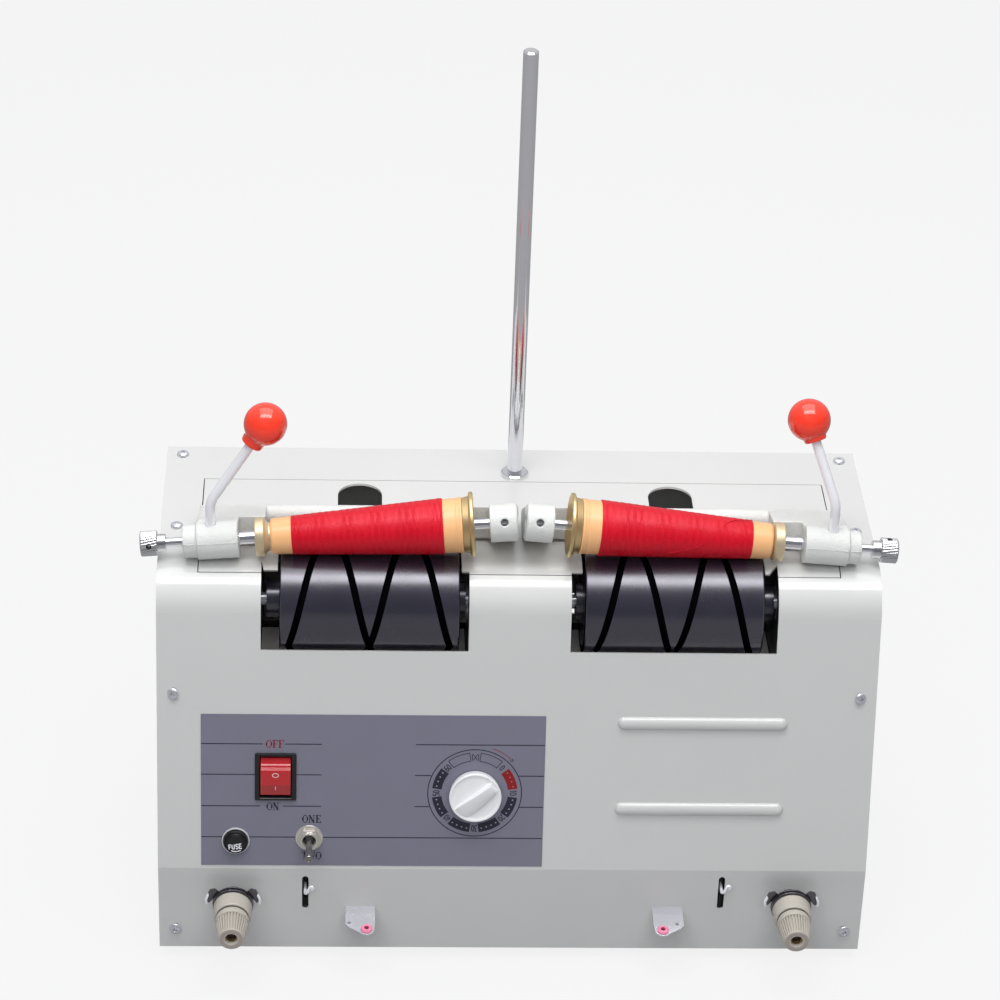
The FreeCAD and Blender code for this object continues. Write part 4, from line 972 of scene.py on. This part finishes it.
def printDial():
    low, high = labelPrint["low"], labelPrint["high"]
    half, line = dialPrint["blockSpan"] / 2, dialPrint["line"]
    place = panelPlace(*dialPrint["centre"])
    ink, red = bmesh.new(), bmesh.new()
    ring = ovalLine(0, 0, dialPrint["ring"], dialPrint["ring"], 96)
    ribbon(ink, ring, dialPrint["ringWidth"], low, high, True)
    spots = []
    for block in range(dialPrint["blocks"]):
        middle = dialPrint["redBlock"] - dialPrint["blockStep"] * block
        dialSector(red if block == 0 else ink, middle - half, middle + half, low, high)
        for k in range(dialPrint["dots"]):
            turn = radians(middle + (k - (dialPrint["dots"] - 1) / 2) * half * dialPrint["dotPitch"])
            spots.append((dialPrint["dotReach"] * cos(turn), dialPrint["dotReach"] * sin(turn), block == 0))
    for start, end in dialPrint["boxes"]:
        edge = arcLine(0, 0, dialPrint["boxOuter"], start, end, 12)
        edge += arcLine(0, 0, dialPrint["boxInner"], end, start, 12)
        ribbon(ink, edge, line, low, high, True)
    for text, turn in dialPrint["numbers"]:
        centre = [dialPrint["numberRadius"] * wave(radians(turn)) for wave in (cos, sin)]
        writeWord(ink, text, plainLetters, centre, dialPrint["numberWidths"][len(text) - 1],
                  dialPrint["numberHeight"], dialPrint["numberWeight"], low, high, turn - 90)
    for stroke in dialPrint["crossing"]:
        ribbon(ink, stroke, line, low, high)
    radius, start, end = dialPrint["arrow"]
    ribbon(red, arcLine(0, 0, radius, start, end, 16), line, low, high)
    tip = Vector(arcLine(0, 0, radius, end, end, 1)[0])
    run = Vector((tip.y, -tip.x)).normalized()
    length, spread, weight = dialPrint["arrowHead"]
    for side in (1, -1):
        barb = tip + Vector((-run.y, run.x)) * spread * side
        ribbon(ink, (tuple(tip + run * length), tuple(barb)), weight, low, high)
    placeInk("dial_scale", ink, "navyInk", "housing", place)
    placeInk("dial_red_block", red, "redInk", "housing", place)
    printDots(spots, place, high)


def printDots(spots, place, height):
    # the small light dots on the blocks
    for name, finish, reds in (("dial_grey_dots", "greyInk", False), ("dial_rose_dots", "roseInk", True)):
        dot = lathe([(0, dialPrint["dotRadius"]), (0.04, dialPrint["dotRadius"])], 10)
        points = [(x, y, height, 0, 0, 0) for x, y, isRed in spots if isRed == reds]
        mesh = repeatPiece(dot, points, finish)
        mesh.transform(place)
        placeMesh(name, mesh, finish, "housing")


def copiesTree():
    # sets one copy of a piece on every point, turned by the point's own "turn"
    tree, give = newTree("placedCopies", (("Piece", "Object", None),))
    piece = addNode(tree, "GeometryNodeObjectInfo", {"Object": give["Piece"]})
    turn = addNode(tree, "GeometryNodeInputNamedAttribute", {"Name": "turn"}, data_type="FLOAT_VECTOR")
    copies = addNode(tree, "GeometryNodeInstanceOnPoints", {
        "Points": give[0], "Instance": piece.outputs["Geometry"], "Rotation": turn.outputs[0]})
    return endTree(tree, give, copies)


def ringTree():
    # repeats the piece it is given about Z
    tree, give = newTree("ringOfCopies", (("Count", "Int", 32),))
    points = addNode(tree, "GeometryNodePoints", {"Count": give["Count"]})
    share = addMath(tree, "DIVIDE", addNode(tree, "GeometryNodeInputIndex").outputs[0], give["Count"])
    turn = addNode(tree, "ShaderNodeCombineXYZ", {"Z": addMath(tree, "MULTIPLY", share, 2 * pi)})
    copies = addNode(tree, "GeometryNodeInstanceOnPoints", {
        "Points": points.outputs[0], "Instance": give[0], "Rotation": turn.outputs[0]})
    return endTree(tree, give, copies)


def repeatPiece(shape, points, finish):
    # points are (x, y, z) in mm with three turns in radians
    piece = linked("piece", meshOf(shape, "piece"))
    seed = bpy.data.meshes.new("points")
    seed.from_pydata([[c * mm for c in point[:3]] for point in points], [], [])
    turns = seed.attributes.new("turn", "FLOAT_VECTOR", "POINT")
    for k, point in enumerate(points):
        turns.data[k].vector = point[3:]
    result = grow(copiesTreeMade, {"Piece": piece, "Material": materials[finish]}, seed)
    bpy.data.objects.remove(piece)
    return result


rockerShape = {
    "centre": (-147.6, 61.6), "frame": (25.4, 31.0), "opening": (19.2, 27.4), "halfWidth": 9.25,
    # across the paddle from its lower end to its upper end: (along the panel, out)
    "profile": ((11.9, -6.0), (12.3, 0.4), (9.0, 1.6), (7.9, 2.6), (7.5, 2.7), (7.1, 2.8), (5.3, 4.4),
                (4.9, 4.5), (-4.0, 4.7), (-4.6, 4.5), (-11.8, 1.7), (-12.3, 1.0), (-12.0, -6.0)),
    "shift": 0.4,
    # the bezel's rings, smaller than the frame or larger than the opening by so much: corner radius, height
    "outside": ((0, 0.8, 0.42), (0, 0.8, 1.6), (0.5, 0.7, 2.05), (1.2, 0.6, 2.2)),
    "inside": ((1.0, 0.8, 0.6, 2.2), (0.3, 0.2, 0.5, 1.9), (0, 0, 0.5, 1.2), (0, 0, 0.5, -6.0),
               (2.6, 0.6, 0.5, -6.0), (2.6, 0.6, 0.5, 0.42)),
}


def makeRocker():
    x, t = rockerShape["centre"]
    t += rockerShape["shift"]
    (width, height), (gapX, gapT) = rockerShape["frame"], rockerShape["opening"]
    rings = [roundedBox(width - less, height - less, radius, level)
             for less, radius, level in rockerShape["outside"]]
    rings += [roundedBox(gapX + moreX, gapT + moreT, radius, level)
              for moreX, moreT, radius, level in rockerShape["inside"]]
    placeShape("rocker_bezel", skin(rings, True), "blackPlastic", "housing", panelPlace(x, t),
               ("rocker_frame",), 30)
    half = rockerShape["halfWidth"]
    paddle = prism(softened(rockerShape["profile"] + rockerShape["profile"][:1], 0.35, 3)[:-1], -half, half,
                   0.35, 3)
    placeShape("rocker_paddle", paddle, "redRocker", "rocker", sidePlace(x, t), ("rocker",), 25)
    marks = bmesh.new()
    ribbon(marks, ovalLine(0, 2.4, 1.9, 1.25, 24), 0.30, 4.45, 4.62, True)
    placeInk("rocker_off_mark", marks, "paleInk", "rocker", panelPlace(x, t))
    line = bmesh.new()
    ribbon(line, ((0, -1.6), (0, 1.6)), 0.34, -0.05, 0.09)
    placeInk("rocker_on_mark", line, "paleInk", "rocker", panelPlace(x, t - 6.6, 3.73, 21.3))


fuseShape = {
    "centre": (-172.0, 19.2),
    "cap": ((1.2, 5.9), (1.2, 7.55), (3.6, 7.5), (4.3, 7.2), (4.5, 6.8), (4.0, 6.6), (4.0, 6.3),
            (4.9, 6.1), (5.2, 5.7), (4.9, 5.5), (4.9, 5.2), (5.3, 5.0), (5.4, 4.0)),
    "ring": ((0.42, 7.6), (0.42, 8.6), (1.9, 8.7), (2.2, 8.5), (2.3, 8.2), (2.2, 7.9), (1.9, 7.7)),
}


def makeFuse():
    place = panelPlace(*fuseShape["centre"])
    # painted highlight: the black holder's rim is covered by a pale ring that stands for its reflection
    placeShape("fuse_collar", lathe(softened(fuseShape["ring"], 0.2), 64, ring=True), "palePlastic",
               "housing", place)
    stem = [(-24, 3.9), (-7.5, 3.9), (-7.5, 5.8)]
    shape = lathe(stem + softened(fuseShape["cap"], 0.15), 72)
    placeShape("fuse_knob", shape, "blackPlastic", "fuse_cap", place, ("fuse_cap",), 40)
    ink = bmesh.new()
    writeWord(ink, "FUSE", plainLetters, (-0.1, -2.2), 8.4, 3.0, 0.62, 5.0, 5.5, 6)
    ribbon(ink, arcLine(0, 0, 5.6, 240, 305, 10), 0.5, 5.0, 5.5)
    placeInk("fuse_word", ink, "paleInk", "fuse_cap", place)


toggleShape = {
    "centre": (-126.8, 21.1), "tilt": 13.0,
    "washer": ((0.42, 4.6), (0.42, 8.3), (0.6, 8.55), (1.1, 8.4), (1.5, 7.6), (1.5, 4.6)),
    "nut": (7.3, 1.5, 4.4),
    "bush": ((-16.0, 4.0), (-16.0, 5.5), (4.6, 5.5), (4.8, 5.3), (5.1, 5.5), (5.4, 5.3), (5.7, 5.5),
             (6.4, 5.4), (6.7, 5.0), (6.6, 4.3), (6.2, 4.0)),
    "bat": ((-7.0, 1.4), (-1.6, 1.4), (-1.6, 2.4), (0, 2.9), (1.4, 2.4), (2.2, 1.75), (10.0, 1.95),
            (16.8, 2.3), (17.9, 2.7), (19.4, 2.85), (20.9, 2.7), (21.5, 2.2), (21.55, 1.3), (20.9, 1.0)),
}


def makeToggle():
    x, t = toggleShape["centre"]
    place = panelPlace(x, t)
    washer = lathe(softened(toggleShape["washer"], 0.15), 72, ring=True)
    bush = lathe(softened(toggleShape["bush"], 0.1), 72, ring=True)
    radius, low, high = toggleShape["nut"]
    nut = prism(ovalLine(0, 0, radius, radius, 6), low, high, 0.35, 3)
    body = placeShape("toggle_nut", nut, "nickel", "housing", place, ("toggle_body",), 35)
    bore = lathe([(-20.0, 5.2), (10.0, 5.2)], 48)
    bore.transform(place)
    cutBy(body, bore)
    placeShape("toggle_washer", washer, "nickel", "housing", place)
    placeShape("toggle_bush", bush, "nickel", "housing", place)
    case = prism(((-6.5, -6.5), (6.5, -6.5), (6.5, 6.5), (-6.5, 6.5)), -22.0, -1.6, 0.4)
    placeShape("toggle_case", case, "blackPlastic", "housing", place)
    lever = lathe(softened(toggleShape["bat"], 0.3), 48)
    tilt = Matrix.Rotation(radians(toggleShape["tilt"]), 4, "X")
    placeShape("toggle_bat", lever, "steelGrey", "toggle_lever", panelPlace(x, t, 2.0) @ tilt,
               ("toggle_lever",), 50)


knobShape = {
    "centre": (-25.05, 51.45), "turn": 38.0,
    "disc": ((-13.0, 3.0), (1.2, 3.0), (1.2, 15.0), (1.6, 15.5), (6.6, 16.15), (7.6, 16.1), (8.1, 15.6),
             (8.1, 14.9), (7.6, 14.2), (7.3, 13.0), (7.2, 4.0)),
    # the grip's sections: along it, reach to its steep side, reach to its sloping side, height
    "grip": ((-15.2, 1.4, 3.6, 7.4), (-14.6, 2.0, 5.4, 8.0), (-11.0, 2.3, 6.9, 9.3), (-6.0, 2.4, 7.0, 10.4),
             (0.0, 2.4, 6.6, 11.3), (7.0, 2.4, 5.6, 11.9), (11.8, 2.4, 4.9, 11.8), (12.9, 2.3, 4.7, 11.2),
             (14.2, 2.0, 4.2, 7.4)),
    "foot": 6.6,
}


def gripSection(along, steep, sloping, height):
    foot = knobShape["foot"]
    level = foot + (height - foot) * 0.5
    outline = ((steep + 0.5, foot), (steep, height - 0.5), (steep - 0.35, height),
               (steep - 1.3, height - 0.1), (sloping * -0.45, (height + level) / 2 + 0.4), (-sloping, level),
               (-sloping - 0.4, foot))
    return [(along, across, out) for across, out in outline]


def makeDialKnob():
    grip = skin([gripSection(*station) for station in knobShape["grip"]])
    edges = [edge for edge in grip.edges if edge.calc_face_angle(0) > radians(24)]
    bmesh.ops.bevel(grip, geom=edges, offset=0.28 * mm, segments=3, affect="EDGES", profile=0.5,
                    clamp_overlap=True)
    grip.transform(Matrix.Rotation(radians(knobShape["turn"]), 4, "Z"))
    disc = lathe(softened(knobShape["disc"], 0.5, 4), 96)
    placeShape("dial_grip", merged([disc, grip]), "whitePlastic", "speed_knob",
               panelPlace(*knobShape["centre"]), ("speed_knob",), 32)


tensioner = {
    "x": 173.5, "z": 49.0, "ribs": 32, "ribWidth": (1.20, 0.90), "ribTop": 10.05,
    "post": ((-8.0, 2.4), (0.0, 2.4), (0.0, 6.0), (2.0, 6.0), (2.2, 4.2), (9.0, 4.2), (9.0, 12.2),
             (9.3, 12.7), (9.9, 12.7), (10.2, 12.2), (10.2, 9.0), (11.2, 9.0), (11.2, 12.0), (11.5, 12.5),
             (12.4, 12.5), (12.8, 12.0), (12.8, 2.4), (33.0, 2.4)),
    "ear": ((8.2, 9.0), (11.2, 11.8), (14.4, 10.8), (17.0, 4.4), (16.8, 1.4), (14.6, 1.0), (12.4, 3.6)),
    "earLevels": (9.3, 10.1),
    "lip": ((15.5, 1.2), (17.1, 1.0), (17.35, 4.6), (15.7, 8.2), (14.9, 7.6), (15.9, 4.4)),
    "lipLevels": (9.9, 12.0),
    "cup": ((13.4, 2.7), (13.4, 11.2), (13.8, 11.9), (14.5, 12.05), (24.0, 11.45), (24.8, 11.1),
            (25.0, 10.7), (25.0, 10.1), (15.0, 10.0), (15.0, 2.7)),
    "knob": ((16.0, 2.6), (16.0, 9.0), (25.4, 9.0), (25.9, 9.8), (26.4, 10.3), (27.0, 10.4), (30.2, 10.15),
             (30.5, 9.95), (30.55, 8.2), (31.7, 8.2), (32.4, 8.7), (44.0, 7.1), (44.5, 7.9), (45.1, 7.75),
             (45.4, 7.3), (45.25, 4.9), (45.4, 4.6), (45.4, 4.2), (45.1, 3.8), (36.0, 3.7), (36.0, 2.6)),
    "rib": ((30.9, 8.0, 9.95), (31.5, 8.0, 10.15), (44.0, 6.8, 8.2), (44.6, 6.8, 7.9)),
    "brass": ((33.0, 3.1), (33.0, 3.68), (43.0, 3.68), (43.3, 3.5), (43.2, 3.3), (42.0, 3.1)),
    # a dark disc that stands for the shade in the hole
    "bore": ((40.0, 0.2), (40.0, 3.12), (40.6, 3.12), (40.6, 0.2)),
    "face": ((45.2, 4.75), (45.46, 4.85), (45.46, 7.1), (45.2, 7.25)),
}


def tensionPlace(side):
    return stripPlace(side * tensioner["x"], tensioner["z"])


def bendEars(side, form):
    # the thread plates' ears, or their bright turned-out tips
    low, high = tensioner[form + "Levels"]
    whole = merged([prism([(hand * x, z) for x, z in tensioner[form]], low, high, 0.15) for hand in (-1, 1)])
    whole.transform(tensionPlace(side))
    return whole


def tensionRib():
    # one rib of the barrel, about X, ready to be repeated round Z
    foot, top = tensioner["ribWidth"]
    rings = []
    for station, low, high in tensioner["rib"]:
        taper = high / tensioner["ribTop"]
        half = [(low, foot / 2 * taper), (high - 0.15, top / 2 * taper), (high, top / 4 * taper)]
        rings.append([(x, -y, station) for x, y in half] + [(x, y, station) for x, y in reversed(half)])
    return skin(rings)


def makeTensioner(name, side):
    place = tensionPlace(side)
    body = name + "_tension_knob"
    ribs = grow(ringTreeMade, {"Count": tensioner["ribs"], "Material": materials["beigePlastic"]},
                meshOf(tensionRib(), "rib"))
    ribs.transform(place)
    barrel = lathe(softened(tensioner["knob"], 0.2), 96, ring=True)
    placeShape(name + "_tension_barrel", barrel, "beigePlastic", body, place, (body,))
    placeMesh(name + "_tension_ribs", ribs, "beigePlastic", body)
    # painted shade: the knob's end face gets a ring of darker beige
    face = lathe(softened(tensioner["face"], 0.1), 72, ring=True)
    # painted shade: a dark brown disc closes the bore inside the brass insert
    for part, shape, finish in (("insert", lathe(tensioner["brass"], 48, ring=True), "goldBrass"),
                                ("bore", lathe(tensioner["bore"], 40, ring=True), "darkBrown"),
                                ("face", face, "greyBeige")):
        placeShape(f"{name}_tension_{part}", shape, finish, body, place)


def makeCupsAndPlates():
    cups, posts = [], []
    for side in heads.values():
        cup = lathe(softened(tensioner["cup"], 0.25), 96, ring=True)
        post = lathe(softened(tensioner["post"], 0.15), 96)
        for shape in (cup, post):
            shape.transform(tensionPlace(side))
        cups.append(cup)
        posts += [post, bendEars(side, "ear")]
    tips = merged([bendEars(side, "lip") for side in heads.values()])
    placeShape("tension_cup_pair", merged(cups), "beigePlastic", "housing", None, ("tension_cups",))
    # painted reflections: the plates are chrome painted dark and their tips chrome painted white
    placeShape("tension_plates", merged(posts), "darkChrome", "housing", None, ("tension_posts",), 35)
    placeShape("tension_plate_tips", tips, "leverChrome", "housing")


screwShape = {
    "head": ((-5.0, 1.6), (-0.05, 1.6), (-0.05, 3.7), (0.1, 3.85), (0.9, 3.8), (1.5, 3.3), (2.0, 2.4),
             (2.25, 1.3)),
    "recess": (2.1, 0.42, 1.1),
    "topPlaces": ((-210, 19.7), (210, 19.7), (-210, 107.2), (210, 107.2)),
    "panelHeight": 116.0, "stripHeight": 22.3, "rearHeights": (22.0, 125.0, 228.0), "x": 210.0, "lift": 0.1,
}


def setScrews():
    screw = linked("screw", meshOf(lathe(softened(screwShape["head"], 0.25), 40), "screw"))
    reach, half, depth = screwShape["recess"]
    for turn in (0, 90):
        slot = skin([roundedBox(1.2 * reach, 1.2 * half, 0.1, 2.3 - depth),
                     roundedBox(2.2 * reach, 2.4 * half, 0.15, 3.4)])
        slot.transform(Matrix.Rotation(radians(turn), 4, "Z"))
        cutBy(screw, slot)
    shape = bmesh.new()
    shape.from_mesh(screw.data)
    bpy.data.objects.remove(screw)
    lean = radians(90 - frontPlanes["lean"])
    lift = screwShape["lift"]
    points = [(x, y, frontPlanes["top"] + lift, 0, 0, 0.3 * k)
              for k, (x, y) in enumerate(screwShape["topPlaces"])]
    for side in heads.values():
        x = side * screwShape["x"]
        panel = panelPlace(x, screwShape["panelHeight"]).translation / mm
        points.append((*panel, lean, 0, 0.35 * side))
        points.append((x, frontPlanes["front"] - lift, screwShape["stripHeight"], pi / 2, 0, 0.2 * side))
        points += [(x, frontPlanes["back"] + lift, z, -pi / 2, 0, 0.4 + z)
                   for z in screwShape["rearHeights"]]
    placeMesh("pan_head_screws", repeatPiece(shape, points, "zincSteel"), "zincSteel", "housing",
              ("cover_screws",), 35)


drumShelf = {"x": (31.5, 157.5), "front": -47.0, "back": 11.0, "top": 187.5, "skin": 0.15}


def paintShelves():
    # the grey plate that is seen below each drum, painted paler than its own grey for the light that reaches
    # it through the window: painted light
    shelves = []
    top, front, back = (drumShelf[k] for k in ("top", "front", "back"))
    for side in heads.values():
        near, far = sorted(side * x for x in drumShelf["x"])
        shelves.append(prism(((near, front), (far, front), (far, back), (near, back)), top,
                             top + drumShelf["skin"]))
    placeShape("drum_shelf_paint", merged(shelves), "greyShelf", "housing")


eyeletBore = {"at": (-90.8, 93.3), "up": 37.4, "out": 20.8, "slope": 7.0, "radius": 2.0,
              "levels": (0.9, 1.3)}


def paintEyeletShade():
    # painted shade: a dark rose disc closes each glazed ring's hole
    bores = []
    (low, high), radius = eyeletBore["levels"], eyeletBore["radius"]
    for across in eyeletBore["at"]:
        bore = lathe(((low, 0.3), (low, radius), (high, radius), (high, 0.3)), 32, ring=True)
        for turn in (Matrix.Rotation(radians(eyeletBore["slope"] - 90), 4, "X"),
                     Matrix.Translation((0, 0, eyeletBore["out"] * mm)),
                     stripPlace(across, eyeletBore["up"])):
            bore.transform(turn)
        bores.append(bore)
    placeShape("eyelet_bores", merged(bores), "darkRose", "housing")


looseThread = {
    "radius": 0.2, "lift": 0.5,
    # along the spindle, and degrees up from the front
    "line": ((88.0, -24.0), (98.0, -9.0), (109.0, 4.0), (116.0, 38.0), (122.0, 68.0), (127.0, 88.0),
             (134.0, 99.0), (139.2, 104.0)),
}


def sweepWire(points, radius, place):
    # a round wire along smoothed (x, y, z) points in mm
    curve = bpy.data.curves.new("wire", "CURVE")
    curve.dimensions = "3D"
    curve.bevel_depth = radius * mm
    curve.bevel_resolution = 3
    curve.use_fill_caps = True
    line = curve.splines.new("NURBS")
    line.points.add(len(points) - 1)
    for target, point in zip(line.points, points):
        target.co = (*(Vector(point) * mm), 1)
    line.order_u = 3
    line.use_endpoint_u = True
    wire = linked("wire", curve)
    mesh = baked(wire)
    bpy.data.objects.remove(wire)
    mesh.transform(place)
    return mesh


def layLooseThread():
    # one strand crosses the right package at a steep angle
    (start, wide), (finish, narrow) = coneShape["yarn"]
    points = []
    for station, rise in looseThread["line"]:
        radius = wide + (narrow - wide) * (station - start) / (finish - start) + looseThread["lift"]
        turn = radians(-rise)
        points.append((radius * cos(turn), radius * sin(turn), station))
    strand = sweepWire(points, looseThread["radius"], spindleTurn(1))
    placeMesh("right_loose_strand", strand, "redYarn", "right_cone")


stopHook = {
    "at": {"left": (-129.0, 52.4), "right": (130.5, 54.5)}, "radius": 1.0,
    # to the right, up and out of the strip
    "wire": ((0, 0, -7.0), (0, 0, 1.0), (0, 0, 3.2), (0.5, 0.9, 4.7), (1.6, 2.4, 5.1), (2.2, 4.2, 5.0),
             (3.0, 5.8, 4.9), (4.4, 6.0, 4.7), (4.9, 4.6, 4.6), (4.2, 3.6, 4.6), (3.4, 3.8, 4.6)),
}


def bendStopHook(name):
    place = stripPlace(*stopHook["at"][name])
    mesh = sweepWire(stopHook["wire"], stopHook["radius"], place)
    # the hook's white chrome is a painted reflection
    placeMesh(name + "_stop_hook", mesh, "leverChrome", name + "_stop_pin", (name + "_stop_pin",))


copiesTreeMade = copiesTree()
ringTreeMade = ringTree()
printLabel()
printDial()
makeRocker()
makeFuse()
makeToggle()
makeDialKnob()
print("control panel made")
for head, side in heads.items():
    makeTensioner(head, side)
    bendStopHook(head)
makeCupsAndPlates()
setScrews()
paintShelves()
paintEyeletShade()
layLooseThread()
print("tensioners, screws and loose strand made")
